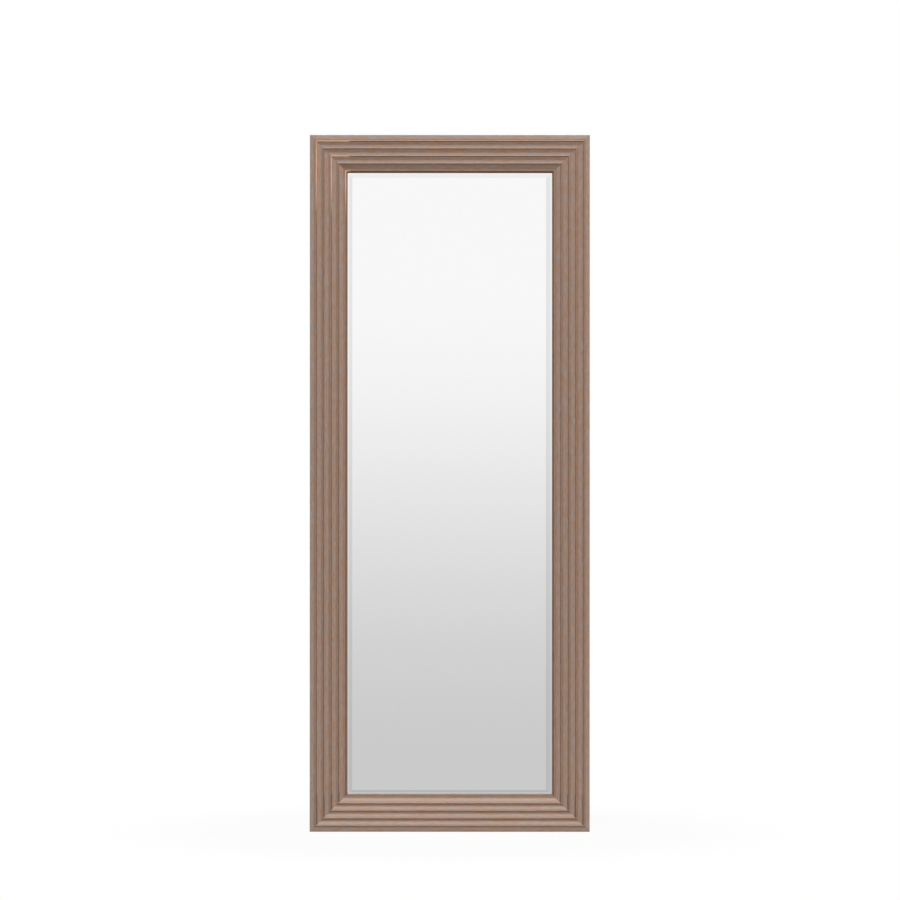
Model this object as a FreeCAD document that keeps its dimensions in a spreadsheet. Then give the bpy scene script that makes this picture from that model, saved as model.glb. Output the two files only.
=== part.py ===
import FreeCAD, Part
import math
import os
import Sketcher

# Tall framed mirror that stands on the floor and leans on a wall.
#
# Four lengths of one stepped, scooped moulding are mitred into a frame. A
# bevelled pane and its backing board lie in the rebate behind the sight edge,
# held by steel points. V-nails tie the mitres from behind, and two strap
# hangers with swinging D-rings are screwed to the backs of the stiles, with
# rubber bumpers to keep them off the wall.
#
# X runs across, Y from the front (-) to the back (+) and Z up, in millimetres.
# The origin is the middle of the bottom rail's underside.

SIZES = {
    # pane and backing board
    "glass_width": 457.2,
    "glass_height": 1371.6,
    "glass_thickness": 4.0,
    "bevel_width": 15.9,
    "bevel_depth": 2.0,
    "board_thickness": 3.0,
    # how the pane lies in the rebate
    "glass_overlap": 4.0,
    "rebate_clearance": 1.5,
    "seat_gap": 0.05,
    # section of the moulding, from its outer edge inwards
    "moulding_depth": 38.0,
    "back_chamfer": 1.0,
    "arris_radius": 1.5,
    "outer_fillet": 11.45,
    "fillet_fall": 0.9,
    "quirk_width": 0.5,
    "quirk_rise": 1.0,
    "crest_width": 1.65,
    "riser_radius": 2.0,
    "scoop_count": 3,
    "scoop_width": 12.2,
    "scoop_drop": 0.8,
    "scoop_radius": 14.6,
    "slope_width": 11.1,
    "slope_drop": 4.6,
    "lip_radius": 4.5,
    "sight_wall": 4.9,
    # V-nails across the mitres
    "nail_leg": 8.0,
    "nail_thickness": 0.8,
    "nail_height": 10.0,
    "nail_inset": 22.0,
    "nail_spacing": 30.0,
    # glazing points
    "point_width": 9.5,
    "point_thickness": 0.5,
    "point_tip": 4.0,
    "point_bite": 6.0,
    "point_reach": 10.0,
    "long_side_point_count": 5,
    "short_side_point_count": 2,
    # strap hangers
    "hanger_drop": 300.0,
    "strap_width": 15.0,
    "strap_thickness": 1.2,
    "strap_end_margin": 7.0,
    "strap_end_radius": 5.0,
    "ring_width": 3.2,
    "ring_thickness": 2.5,
    "ring_clearance": 0.3,
    "ring_side_gap": 0.6,
    "ring_corner_radius": 3.5,
    "ring_leg": 4.5,
    # hanger screws
    "screw_shank": 4.0,
    "screw_length": 19.0,
    "screw_tip": 5.0,
    "screw_head": 7.8,
    "screw_head_height": 2.4,
    "screw_head_shoulder": 1.0,
    "screw_spacing": 14.0,
    "screw_ring_gap": 1.0,
    "screw_hole_clearance": 0.4,
    "pilot_clearance": 0.05,
    "pilot_bottom_gap": 1.0,
    "recess_length": 4.2,
    "recess_width": 0.9,
    "recess_depth": 1.3,
    # wall bumpers
    "bumper_width": 19.0,
    "bumper_clearance": 1.0,
    "bumper_shoulder": 1.5,
    "bumper_end_distance": 110.0,
}

CUT_MARGIN = 5.0


class Size:
    """A length that carries its number and the sheet expression behind it."""

    def __init__(self, value, text):
        self.value = value
        self.text = text

    def __add__(self, other):
        other = as_size(other)
        return Size(self.value + other.value, f"({self.text} + {other.text})")

    def __radd__(self, other):
        return as_size(other) + self

    def __sub__(self, other):
        other = as_size(other)
        return Size(self.value - other.value, f"({self.text} - {other.text})")

    def __rsub__(self, other):
        return as_size(other) - self

    def __mul__(self, factor):
        factor = as_size(factor)
        return Size(self.value * factor.value, f"({self.text} * {factor.text})")

    def __rmul__(self, factor):
        return self * factor

    def __truediv__(self, divisor):
        divisor = as_size(divisor)
        return Size(self.value / divisor.value, f"({self.text} / {divisor.text})")

    def __neg__(self):
        return Size(-self.value, f"(-{self.text})")


def as_size(value):
    """Give a plain number the same form as a size from the sheet."""
    if isinstance(value, Size):
        return value
    return Size(float(value), repr(float(value)))


def diagonal(width, height):
    """Length from corner to corner of a rectangle."""
    return Size(math.hypot(width.value, height.value), f"sqrt({width.text} ^ 2 + {height.text} ^ 2)")


class Outline:
    """A closed outline, walked step by step and then drawn with its dimensions."""

    def __init__(self, start_x, start_y):
        self.start = (as_size(start_x), as_size(start_y))
        self.steps = []

    def line(self, across, up):
        self.steps.append((as_size(across), as_size(up), None, 0, False))

    def arc(self, across, up, radius, turn, large=False):
        """Add an arc; turn is 1 where it turns left along the walk, -1 where right."""
        self.steps.append((as_size(across), as_size(up), as_size(radius), turn, large))

    def draw(self, sketch):
        """Draw the steps, and close the outline with a straight line."""
        first = sketch.GeometryCount
        corner = FreeCAD.Vector(self.start[0].value, self.start[1].value, 0)
        home = FreeCAD.Vector(corner)
        curves = []
        ends = []
        for across, up, radius, turn, large in self.steps:
            target = corner + FreeCAD.Vector(across.value, up.value, 0)
            if radius is None:
                curves.append(Part.LineSegment(corner, target))
            else:
                middle = arc_middle(corner, target, radius.value, turn, large)
                curves.append(Part.Arc(corner, middle, target))
            ends.append((corner, target))
            corner = target
        curves.append(Part.LineSegment(corner, home))
        ends.append((corner, home))
        sketch.addGeometry(curves, False)

        tips = [tip_numbers(sketch, first + i, *ends[i]) for i in range(len(curves))]
        joins = []
        for i in range(len(curves)):
            after = (i + 1) % len(curves)
            joins.append(Sketcher.Constraint(
                "Coincident", first + i, tips[i][1], first + after, tips[after][0]))
        sketch.addConstraint(joins)
        pin_point(sketch, first, tips[0][0], self.start[0], self.start[1])
        for i, (across, up, radius, turn, large) in enumerate(self.steps):
            span(sketch, "DistanceX", first + i, tips[i], across)
            span(sketch, "DistanceY", first + i, tips[i], up)
            if radius is not None:
                dimension(sketch, Sketcher.Constraint("Radius", first + i, radius.value), radius)


def arc_middle(start, end, radius, turn, large):
    """Middle point of the arc from start to end that turns the given way."""
    chord = end - start
    half = chord.Length / 2
    left = FreeCAD.Vector(-chord.y, chord.x, 0).normalize()
    depth = math.sqrt(max(radius * radius - half * half, 0.0))
    sagitta = radius + depth if large else radius - depth
    return start + chord * 0.5 - left * (turn * sagitta)


def tip_numbers(sketch, index, start, end):
    """Numbers of a curve's start and end points, in the order of the walk."""
    point = sketch.getPoint(index, 1)
    forward = (point - start).Length <= (point - end).Length
    return (1, 2) if forward else (2, 1)


def dimension(sketch, constraint, size):
    """Add one dimension and tie it to the sheet."""
    index = sketch.addConstraint(constraint)
    sketch.setExpression(f"Constraints[{index}]", size.text)


def pin_point(sketch, index, tip, across, up):
    """Place one point from the sketch's origin."""
    dimension(sketch, Sketcher.Constraint("DistanceX", index, tip, across.value), across)
    dimension(sketch, Sketcher.Constraint("DistanceY", index, tip, up.value), up)


def span(sketch, kind, index, tips, size):
    """Dimension one curve from tip to tip, along one direction."""
    if size.value < 0:
        size = -size
        tips = (tips[1], tips[0])
    constraint = Sketcher.Constraint(kind, index, tips[0], index, tips[1], size.value)
    dimension(sketch, constraint, size)


def draw_circle(sketch, across, up, radius):
    """Draw one dimensioned circle."""
    centre = FreeCAD.Vector(across.value, up.value, 0)
    index = sketch.addGeometry(Part.Circle(centre, FreeCAD.Vector(0, 0, 1), radius.value), False)
    pin_point(sketch, index, 3, across, up)
    dimension(sketch, Sketcher.Constraint("Radius", index, radius.value), radius)


# --- the document and its sheet of driving dimensions -----------------------

doc = FreeCAD.newDocument("floor_mirror")
sheet = doc.addObject("Spreadsheet::Sheet", "Sizes")
size = {}
for row, (alias, number) in enumerate(SIZES.items(), start=1):
    sheet.set(f"A{row}", alias)
    sheet.set(f"B{row}", str(number))
    sheet.setAlias(f"B{row}", alias)
    size[alias] = Size(float(number), f"Sizes.{alias}")
doc.recompute()

SCOOPS = int(SIZES["scoop_count"])

band_width = (size["scoop_width"] + size["quirk_width"] + size["crest_width"]
              + size["riser_radius"])
rail_width = (size["outer_fillet"] + size["quirk_width"] + size["crest_width"]
              + size["riser_radius"] + size["scoop_count"] * band_width
              + size["slope_width"] + size["quirk_width"] + size["crest_width"]
              + size["lip_radius"])
rebate_width = size["glass_overlap"] + size["rebate_clearance"]
back_width = rail_width - rebate_width
opening_width = size["glass_width"] - 2 * size["glass_overlap"]
opening_height = size["glass_height"] - 2 * size["glass_overlap"]
frame_width = opening_width + 2 * rail_width
frame_height = opening_height + 2 * rail_width
back_plane = size["moulding_depth"] / 2

# The lip's foot, measured from the back, once every step has come down.
band_fall = size["riser_radius"] + size["scoop_drop"] - size["quirk_rise"]
slope_fall = size["riser_radius"] + size["slope_drop"] - size["quirk_rise"]
lip_foot = (size["moulding_depth"] - size["scoop_count"] * band_fall - slope_fall
            - size["lip_radius"])
rebate_depth = lip_foot - size["sight_wall"]

# The bevel of the pane comes to rest on the sight edge, where the rebate is
# filled to its wall, so the pane's face stands a little proud of the rebate.
bevel_at_seat = size["bevel_depth"] * (1 - rebate_width / size["bevel_width"])
pane_front = back_plane - rebate_depth - bevel_at_seat + size["seat_gap"]
pane_back = pane_front + size["glass_thickness"]
board_back = pane_back + size["board_thickness"]
point_back = board_back + size["point_thickness"]

# The ring is stamped from plate, and its straight bar turns in the strap's knuckle.
ring_half_width = size["ring_width"] / 2
knuckle_bore = diagonal(size["ring_width"], size["ring_thickness"]) / 2 + size["ring_clearance"]
knuckle_outer = knuckle_bore + size["strap_thickness"]
leg_offset = size["strap_width"] / 2 + size["ring_side_gap"] + size["ring_corner_radius"]
ring_drop = size["ring_corner_radius"] + size["ring_leg"] + leg_offset
first_screw = ring_drop + ring_half_width + size["screw_head"] / 2 + size["screw_ring_gap"]
strap_length = first_screw + size["screw_spacing"] + size["strap_end_margin"]

# The bumpers stand further out than the knuckles, so that no steel meets the wall.
bumper_height = 2 * knuckle_outer + size["bumper_clearance"]


# --- bodies and features -----------------------------------------------------

def new_body(name):
    """Start a sub-part; groups of equal fasteners are several solids in one."""
    body = doc.addObject("PartDesign::Body", name)
    body.Label = name
    body.AllowCompound = True
    return body


def place(body, across=0, depth=0, up=0, turn=0):
    """Put a sub-part in the frame, turned by whole degrees about the Y axis."""
    rotation = FreeCAD.Rotation(FreeCAD.Vector(0, 1, 0), turn)
    body.Placement = FreeCAD.Placement(FreeCAD.Vector(0, 0, 0), rotation)
    for axis, distance in (("x", across), ("y", depth), ("z", up)):
        body.setExpression(f"Placement.Base.{axis}", as_size(distance).text)


def new_sketch(body, name, plane, offset=None):
    """Start a sketch on one of the body's own planes, or parallel to it."""
    sketch = body.newObject("Sketcher::SketchObject", name)
    sketch.AttachmentSupport = [(origin_feature(body, plane), "")]
    sketch.MapMode = "FlatFace"
    if offset is not None:
        sketch.setExpression("AttachmentOffset.Base.z", offset.text)
    return sketch


def origin_feature(body, role):
    """A plane or axis of the body's own origin."""
    return next(f for f in body.Origin.OriginFeatures if f.Role == role)


def pad(body, name, sketch, length, symmetric=False, reverse=False):
    """Raise a sketch into solid material."""
    feature = body.newObject("PartDesign::Pad", name)
    feature.Profile = sketch
    feature.SideType = "Symmetric" if symmetric else "One side"
    feature.Reversed = reverse
    feature.setExpression("Length", length.text)
    doc.recompute()
    return feature


def pocket(body, name, sketch, depth=None, reverse=False):
    """Cut a sketch out of the body, right through where no depth is given."""
    before = body.Shape.Volume
    feature = body.newObject("PartDesign::Pocket", name)
    feature.Profile = sketch
    if depth is None:
        feature.SideType = "Symmetric"
        feature.Type = "ThroughAll"
    else:
        feature.Type = "Length"
        feature.Reversed = reverse
        feature.setExpression("Length", depth.text)
    doc.recompute()
    check_cut(body, name, before)
    return feature


def check_cut(body, name, before):
    """Stop where a cut has missed the solid."""
    if body.Shape.Volume >= before:
        raise RuntimeError(f"{body.Label}: {name} cuts nothing")


def repeat(body, name, feature, axis, count, spacing):
    """Repeat a feature along one of the body's axes."""
    pattern = body.newObject("PartDesign::LinearPattern", name)
    pattern.Originals = [feature]
    pattern.Direction = (origin_feature(body, axis), [""])
    pattern.Mode = "Spacing"
    pattern.setExpression("Offset", spacing.text)
    pattern.setExpression("Occurrences", count.text)
    body.Tip = pattern
    doc.recompute()
    return pattern


def find_edges(shape, test):
    """Names of the edges that pass a test."""
    return [f"Edge{i}" for i, edge in enumerate(shape.Edges, start=1) if test(edge)]


# --- the moulding ------------------------------------------------------------

def moulding_outline():
    """Section of the moulding: the walk goes up the outer edge, over the face
    of fillet, scoops, slope and lip, down the sight edge and round the rebate.
    Sideways in the sketch is depth, and up is inwards from the outer edge."""
    outline = Outline(back_plane - size["back_chamfer"], 0)

    def inwards(width, rise=0):
        outline.line(-as_size(rise), width)

    def round_over(radius, rise):
        outline.arc(-rise, radius, radius, -1)

    outer_wall = (size["moulding_depth"] - size["back_chamfer"] - size["arris_radius"]
                  - size["quirk_rise"] - size["fillet_fall"])
    outline.line(-outer_wall, 0)
    round_over(size["arris_radius"], size["arris_radius"])
    inwards(size["outer_fillet"] - size["arris_radius"], size["fillet_fall"])
    inwards(size["quirk_width"], size["quirk_rise"])
    inwards(size["crest_width"])
    round_over(size["riser_radius"], -size["riser_radius"])
    for band in range(SCOOPS):
        outline.arc(size["scoop_drop"], size["scoop_width"], size["scoop_radius"], 1)
        inwards(size["quirk_width"], size["quirk_rise"])
        inwards(size["crest_width"])
        round_over(size["riser_radius"], -size["riser_radius"])
    inwards(size["slope_width"], -size["slope_drop"])
    inwards(size["quirk_width"], size["quirk_rise"])
    inwards(size["crest_width"])
    round_over(size["lip_radius"], -size["lip_radius"])
    outline.line(size["sight_wall"], 0)
    outline.line(0, -rebate_width)
    outline.line(rebate_depth, 0)
    outline.line(0, size["back_chamfer"] - back_width)
    return outline


def mitre_outline(length, end):
    """Triangle beyond one 45 degree mitre of a rail, a little over its size."""
    reach = rail_width + 2 * CUT_MARGIN
    outline = Outline(end * (length / 2 + CUT_MARGIN), -CUT_MARGIN)
    outline.line(0, reach)
    outline.line(-end * reach, 0)
    return outline


def nail_outline(corner_x, end, inset):
    """One V-nail from behind: two legs along the two rails that it ties."""
    leg = size["nail_leg"]
    half = size["nail_thickness"] / 2
    outline = Outline(corner_x - end * (inset - half), inset - half)
    outline.line(0, 2 * half + leg)
    outline.line(-end * 2 * half, 0)
    outline.line(0, -leg)
    outline.line(-end * leg, 0)
    outline.line(0, -2 * half)
    return outline


def nail_insets():
    """Distances of the V-nails from the frame's outer edges."""
    return (size["nail_inset"], size["nail_inset"] + size["nail_spacing"])


def point_outline(start_x):
    """One glazing point: a tab over the board, with its tip in the wood."""
    width = size["point_width"]
    bite = size["point_bite"] - size["point_tip"]
    outline = Outline(start_x - width / 2, back_width - bite)
    outline.line(0, bite + size["point_reach"])
    outline.line(width, 0)
    outline.line(0, -(bite + size["point_reach"]))
    outline.line(-width / 2, -size["point_tip"])
    return outline


def point_layout(opening, count):
    """Spacing of a side's glazing points, and where the first one stands."""
    spacing = opening / count
    start = -(spacing * (count - 1) / 2)
    return spacing, start


def make_rail(name, length, opening, count, turn, across, up, screws=()):
    """One mitred length of moulding, lying along its own X axis with its outer
    edge at Z 0, cut for the V-nails, glazing points and hanger screws."""
    body = new_body(name)
    section = new_sketch(body, f"{name}_section", "YZ_Plane")
    moulding_outline().draw(section)
    pad(body, f"{name}_stick", section, length, symmetric=True)

    mitres = new_sketch(body, f"{name}_mitre_lines", "XZ_Plane")
    for end in (-1, 1):
        mitre_outline(length, end).draw(mitres)
    pocket(body, f"{name}_mitres", mitres)

    slots = new_sketch(body, f"{name}_nail_slot_lines", "XZ_Plane", -back_plane)
    for end in (-1, 1):
        for inset in nail_insets():
            nail_outline(end * length / 2, end, inset).draw(slots)
    pocket(body, f"{name}_nail_slots", slots, size["nail_height"], reverse=True)

    spacing, start = point_layout(opening, count)
    slit = new_sketch(body, f"{name}_point_slit_lines", "XZ_Plane", -point_back)
    point_outline(start).draw(slit)
    first = pocket(body, f"{name}_point_slit", slit, size["point_thickness"], reverse=True)
    before = body.Shape.Volume
    repeat(body, f"{name}_point_slits", first, "X_Axis", count, spacing)
    check_cut(body, f"{name}_point_slits", before)

    if screws:
        drill_pilots(body, name, screws)
    place(body, across=across, up=up, turn=turn)


def drill_pilots(body, name, screws):
    """Blind holes for the hanger screws, from the back of a stile."""
    pilots = new_sketch(body, f"{name}_pilot_lines", "XZ_Plane", -back_plane)
    for along in screws:
        draw_circle(pilots, along, back_width / 2, size["screw_shank"] / 2 + size["pilot_clearance"])
    depth = size["screw_length"] - size["strap_thickness"] + size["pilot_bottom_gap"]
    pocket(body, f"{name}_pilots", pilots, depth, reverse=True)


def make_points(name, opening, count, turn, across, up):
    """The glazing points of one side, in the same place as its rail."""
    body = new_body(name)
    spacing, start = point_layout(opening, count)
    outline = new_sketch(body, f"{name}_lines", "XZ_Plane", -point_back)
    point_outline(start).draw(outline)
    first = pad(body, f"{name}_point", outline, size["point_thickness"])
    repeat(body, f"{name}_row", first, "X_Axis", count, spacing)
    place(body, across=across, up=up, turn=turn)


def make_nails(name, turn, across, up):
    """The V-nails of one corner, flush with the back of the frame."""
    body = new_body(name)
    outline = new_sketch(body, f"{name}_lines", "XZ_Plane", -back_plane)
    for inset in nail_insets():
        nail_outline(as_size(0), -1, inset).draw(outline)
    pad(body, f"{name}_pair", outline, size["nail_height"])
    place(body, across=across, up=up, turn=turn)


# --- pane and backing board --------------------------------------------------

def sheet_outline(inset):
    """The pane's outline, or one set in from it, from the pane's lower left corner."""
    outline = Outline(inset, inset)
    outline.line(size["glass_width"] - 2 * inset, 0)
    outline.line(0, size["glass_height"] - 2 * inset)
    outline.line(-(size["glass_width"] - 2 * inset), 0)
    return outline


def place_sheet(body, depth):
    """Seat a sheet on the bottom rebate, pushed over to the left one."""
    place(body, across=back_width - frame_width / 2, depth=depth, up=back_width)


def make_glass():
    """Silvered pane: a square-edged back and a bevel that rises from it."""
    body = new_body("mirror_glass")
    whole = new_sketch(body, "glass_outline", "XZ_Plane", -size["glass_thickness"])
    sheet_outline(as_size(0)).draw(whole)
    pad(body, "glass_back", whole, size["glass_thickness"] - size["bevel_depth"])

    edge = new_sketch(body, "bevel_edge", "XZ_Plane", -size["bevel_depth"])
    sheet_outline(as_size(0)).draw(edge)
    face = new_sketch(body, "bevel_face", "XZ_Plane")
    sheet_outline(size["bevel_width"]).draw(face)
    bevel = body.newObject("PartDesign::AdditiveLoft", "glass_bevel")
    bevel.Profile = edge
    bevel.Sections = [face]
    bevel.Ruled = True
    doc.recompute()
    place_sheet(body, pane_front)


def make_board():
    """Backing board, cut to the same size as the pane."""
    body = new_body("backing_board")
    whole = new_sketch(body, "board_outline", "XZ_Plane")
    sheet_outline(as_size(0)).draw(whole)
    pad(body, "board", whole, size["board_thickness"], reverse=True)
    place_sheet(body, pane_back)


# --- hangers and bumpers -----------------------------------------------------

def make_strap(name, across, up):
    """Strap with its end rolled into a knuckle, from the ring's axis down."""
    body = new_body(name)
    profile = new_sketch(body, f"{name}_profile", "YZ_Plane")
    outline = Outline(0, -strap_length)
    outline.line(0, strap_length)
    outline.arc(knuckle_outer, -knuckle_outer, knuckle_outer, -1, large=True)
    outline.line(0, size["strap_thickness"])
    outline.arc(-knuckle_bore, knuckle_bore, knuckle_bore, 1, large=True)
    outline.line(0, -strap_length)
    outline.draw(profile)
    pad(body, f"{name}_leaf", profile, size["strap_width"], symmetric=True)

    holes = new_sketch(body, f"{name}_hole_lines", "XZ_Plane")
    for drop in screw_drops():
        draw_circle(holes, as_size(0), -drop,
                    size["screw_shank"] / 2 + size["screw_hole_clearance"] / 2)
    drilled = pocket(body, f"{name}_holes", holes)

    def at_end(edge):
        box = edge.BoundBox
        straight = box.YLength > box.XLength + box.ZLength
        return straight and abs(box.ZMax + strap_length.value) < size["seat_gap"].value

    corners = body.newObject("PartDesign::Fillet", f"{name}_corners")
    corners.Base = (drilled, find_edges(drilled.Shape, at_end))
    corners.setExpression("Radius", size["strap_end_radius"].text)
    doc.recompute()
    place(body, across=across, depth=back_plane, up=up)


def screw_drops():
    """How far the two hanger screws lie below the ring's axis."""
    return (first_screw, first_screw + size["screw_spacing"])


def ring_outline(spread):
    """A D with its bar on the sketch's X axis, spread outwards from its middle line."""
    corner = size["ring_corner_radius"] + spread
    bow = leg_offset + spread
    outline = Outline(0, spread)
    outline.line(leg_offset - size["ring_corner_radius"], 0)
    outline.arc(corner, -corner, corner, -1)
    outline.line(0, -size["ring_leg"])
    outline.arc(-bow, -bow, bow, -1)
    outline.arc(-bow, bow, bow, -1)
    outline.line(0, size["ring_leg"])
    outline.arc(corner, corner, corner, -1)
    return outline


def make_ring(name, across, up):
    """Stamped D-ring, hanging from its bar, which lies along its own X axis."""
    body = new_body(name)
    contour = new_sketch(body, f"{name}_contour", "XZ_Plane")
    for spread in (ring_half_width, -ring_half_width):
        ring_outline(spread).draw(contour)
    pad(body, f"{name}_plate", contour, size["ring_thickness"], symmetric=True)
    place(body, across=across, depth=back_plane + knuckle_outer, up=up)


def cross_outline():
    """Crossed recess, walked round its four arms."""
    arm = size["recess_length"] / 2
    flank = size["recess_width"] / 2
    outline = Outline(flank, flank)
    for across_way, up_way in ((1, 0), (0, -1), (-1, 0), (0, 1)):
        outline.line(across_way * (arm - flank), up_way * (arm - flank))
        outline.line(up_way * 2 * flank, -across_way * 2 * flank)
        if up_way != 1:
            outline.line(-across_way * (arm - flank), -up_way * (arm - flank))
    return outline


def make_screws(name, across, up):
    """Two pan head wood screws, one below the other, with crossed recesses."""
    body = new_body(name)
    head = size["screw_head"] / 2
    shank = size["screw_shank"] / 2
    shoulder = size["screw_head_shoulder"]
    rim = size["screw_head_height"] - shoulder
    half = new_sketch(body, f"{name}_half", "XY_Plane")
    outline = Outline(0, size["screw_head_height"])
    outline.line(head - shoulder, 0)
    outline.line(shoulder, -shoulder)
    outline.line(0, -rim)
    outline.line(shank - head, 0)
    outline.line(0, size["screw_tip"] - size["screw_length"])
    outline.line(-shank, -size["screw_tip"])
    outline.draw(half)
    screw = body.newObject("PartDesign::Revolution", f"{name}_turned")
    screw.Profile = half
    screw.ReferenceAxis = (half, ["V_Axis"])
    doc.recompute()

    cross = new_sketch(body, f"{name}_recess_lines", "XZ_Plane", -size["screw_head_height"])
    cross_outline().draw(cross)
    recess = pocket(body, f"{name}_recess", cross, size["recess_depth"], reverse=True)

    pair = body.newObject("PartDesign::LinearPattern", f"{name}_pair")
    pair.Originals = [screw, recess]
    pair.Direction = (origin_feature(body, "Z_Axis"), [""])
    pair.Reversed = True
    pair.Mode = "Spacing"
    pair.setExpression("Offset", size["screw_spacing"].text)
    pair.Occurrences = 2
    body.Tip = pair
    doc.recompute()
    place(body, across=across, depth=back_plane + size["strap_thickness"], up=up - first_screw)


def make_bumper(name, across, up):
    """Rubber bumper: a low round block with a sloped shoulder."""
    body = new_body(name)
    radius = size["bumper_width"] / 2
    shoulder = size["bumper_shoulder"]
    half = new_sketch(body, f"{name}_half", "XY_Plane")
    outline = Outline(0, 0)
    outline.line(0, bumper_height)
    outline.line(radius - shoulder, 0)
    outline.line(shoulder, -shoulder)
    outline.line(0, shoulder - bumper_height)
    outline.draw(half)
    turned = body.newObject("PartDesign::Revolution", f"{name}_turned")
    turned.Profile = half
    turned.ReferenceAxis = (half, ["V_Axis"])
    doc.recompute()
    place(body, across=across, depth=back_plane, up=up)


# --- the assembly ------------------------------------------------------------

hanger_up = frame_height - size["hanger_drop"]
side_centre = frame_width / 2 - back_width / 2


def stile_screws(up_way):
    """Where the pilot holes lie along a stile whose X axis points up (1) or down (-1)."""
    middle = frame_height / 2 - size["hanger_drop"]
    return tuple(up_way * (middle - drop) for drop in screw_drops())


long_side = (opening_height, size["long_side_point_count"])
short_side = (opening_width, size["short_side_point_count"])
sides = {
    "bottom": (short_side, 0, as_size(0), as_size(0)),
    "right": (long_side, -90, frame_width / 2, frame_height / 2),
    "top": (short_side, 180, as_size(0), frame_height),
    "left": (long_side, 90, -frame_width / 2, frame_height / 2),
}
rail_names = {
    "bottom": "bottom_rail",
    "right": "right_stile",
    "top": "top_rail",
    "left": "left_stile",
}
rail_lengths = {
    "bottom": frame_width,
    "right": frame_height,
    "top": frame_width,
    "left": frame_height,
}
pilot_places = {"right": stile_screws(1), "left": stile_screws(-1)}

for side, ((opening, count), turn, across, up) in sides.items():
    make_rail(rail_names[side], rail_lengths[side], opening, count, turn, across, up,
              pilot_places.get(side, ()))
    make_points(f"glazing_points_{side}", opening, count, turn, across, up)

make_nails("v_nails_bottom_left", 0, -frame_width / 2, as_size(0))
make_nails("v_nails_bottom_right", -90, frame_width / 2, as_size(0))
make_nails("v_nails_top_right", 180, frame_width / 2, frame_height)
make_nails("v_nails_top_left", 90, -frame_width / 2, frame_height)

make_glass()
make_board()

for side, way in (("left", -1), ("right", 1)):
    make_strap(f"hanger_strap_{side}", way * side_centre, hanger_up)
    make_ring(f"hanger_ring_{side}", way * side_centre, hanger_up)
    make_screws(f"hanger_screws_{side}", way * side_centre, hanger_up)
    make_bumper(f"wall_bumper_bottom_{side}", way * side_centre, size["bumper_end_distance"])
    make_bumper(f"wall_bumper_top_{side}", way * side_centre,
                frame_height - size["bumper_end_distance"])

doc.recompute()

for item in doc.Objects:
    if "Invalid" in item.State or "Error" in item.State:
        raise RuntimeError(f"{item.Label} could not be computed: {item.State}")

os.makedirs("parts", exist_ok=True)
for body in doc.findObjects("PartDesign::Body"):
    shape = body.Shape
    if shape.isNull() or not shape.isValid() or not shape.Solids:
        raise RuntimeError(f"{body.Label} has no valid solid")
for body in doc.findObjects("PartDesign::Body"):
    body.Shape.exportStep(f"parts/{body.Label}.step")
    print(f"{body.Label}: {len(body.Shape.Solids)} solids, {body.Shape.Volume:.1f} mm3")
print(f"frame {frame_width.value:.1f} x {frame_height.value:.1f} mm, rails {rail_width.value:.1f} mm")
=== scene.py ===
import logging
import math
from dataclasses import dataclass
from enum import Enum
from typing import Any, Callable, Mapping, Sequence

import bmesh
import bpy
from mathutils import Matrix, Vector


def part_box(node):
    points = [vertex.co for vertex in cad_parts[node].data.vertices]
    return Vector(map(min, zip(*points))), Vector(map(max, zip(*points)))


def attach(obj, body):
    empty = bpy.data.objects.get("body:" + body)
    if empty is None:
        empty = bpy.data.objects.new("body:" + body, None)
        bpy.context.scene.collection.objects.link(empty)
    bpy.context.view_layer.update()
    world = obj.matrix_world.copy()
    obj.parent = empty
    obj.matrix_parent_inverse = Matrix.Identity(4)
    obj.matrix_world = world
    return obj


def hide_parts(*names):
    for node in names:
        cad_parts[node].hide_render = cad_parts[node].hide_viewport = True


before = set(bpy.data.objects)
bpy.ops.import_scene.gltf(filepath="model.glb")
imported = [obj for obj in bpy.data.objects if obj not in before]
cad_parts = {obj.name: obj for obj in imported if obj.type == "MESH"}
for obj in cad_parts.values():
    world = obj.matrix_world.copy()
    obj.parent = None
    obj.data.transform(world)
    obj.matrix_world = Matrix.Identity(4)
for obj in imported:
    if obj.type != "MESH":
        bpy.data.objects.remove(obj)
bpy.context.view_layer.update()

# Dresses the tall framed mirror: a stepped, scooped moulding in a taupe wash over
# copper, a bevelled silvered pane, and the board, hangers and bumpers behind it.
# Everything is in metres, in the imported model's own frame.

Colour = tuple[float, float, float, float]
Point = tuple[float, float]
Span = tuple[float, float]
Triple = tuple[float, float, float]

log = logging.getLogger("floor_mirror")

BACK_PLANE = 0.019
FLOAT, VECTOR = "NodeSocketFloat", "NodeSocketVector"
GEOMETRY, MATERIAL = "NodeSocketGeometry", "NodeSocketMaterial"
WHITE: Colour = (1.0, 1.0, 1.0, 1.0)
CORNERS = ("top_left", "top_right", "bottom_left", "bottom_right")


def srgb(red: float, green: float, blue: float) -> Colour:
    """Turn display levels from 0 to 255 into the linear colour that shows them.

    Args:
        red: Level of red.
        green: Level of green.
        blue: Level of blue.

    Returns:
        The colour with full alpha.
    """
    def linear(level: float) -> float:
        """Linear share of one display level."""
        share = level / 255.0
        return share / 12.92 if share <= 0.04045 else ((share + 0.055) / 1.055) ** 2.4

    return (linear(red), linear(green), linear(blue), 1.0)


class Side(Enum):
    """Side of the frame that a hanger is on, as the nodes write it."""

    LEFT = "left"
    RIGHT = "right"


class Rail(Enum):
    """Length of moulding: its CAD node, turn about Y in degrees and pattern's shift."""

    BOTTOM = ("bottom_rail", 0.0, 0.0)
    TOP = ("top_rail", 180.0, 3.1)
    LEFT = ("left_stile", 90.0, 6.4)
    RIGHT = ("right_stile", -90.0, 9.7)

    def __init__(self, node: str, degrees: float, shift: float) -> None:
        """Keep the three, with the turn in radians."""
        self.node, self.turn, self.shift = node, math.radians(degrees), shift

    @property
    def upright(self) -> bool:
        """Whether the rail is a stile."""
        return self in (Rail.LEFT, Rail.RIGHT)


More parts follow.
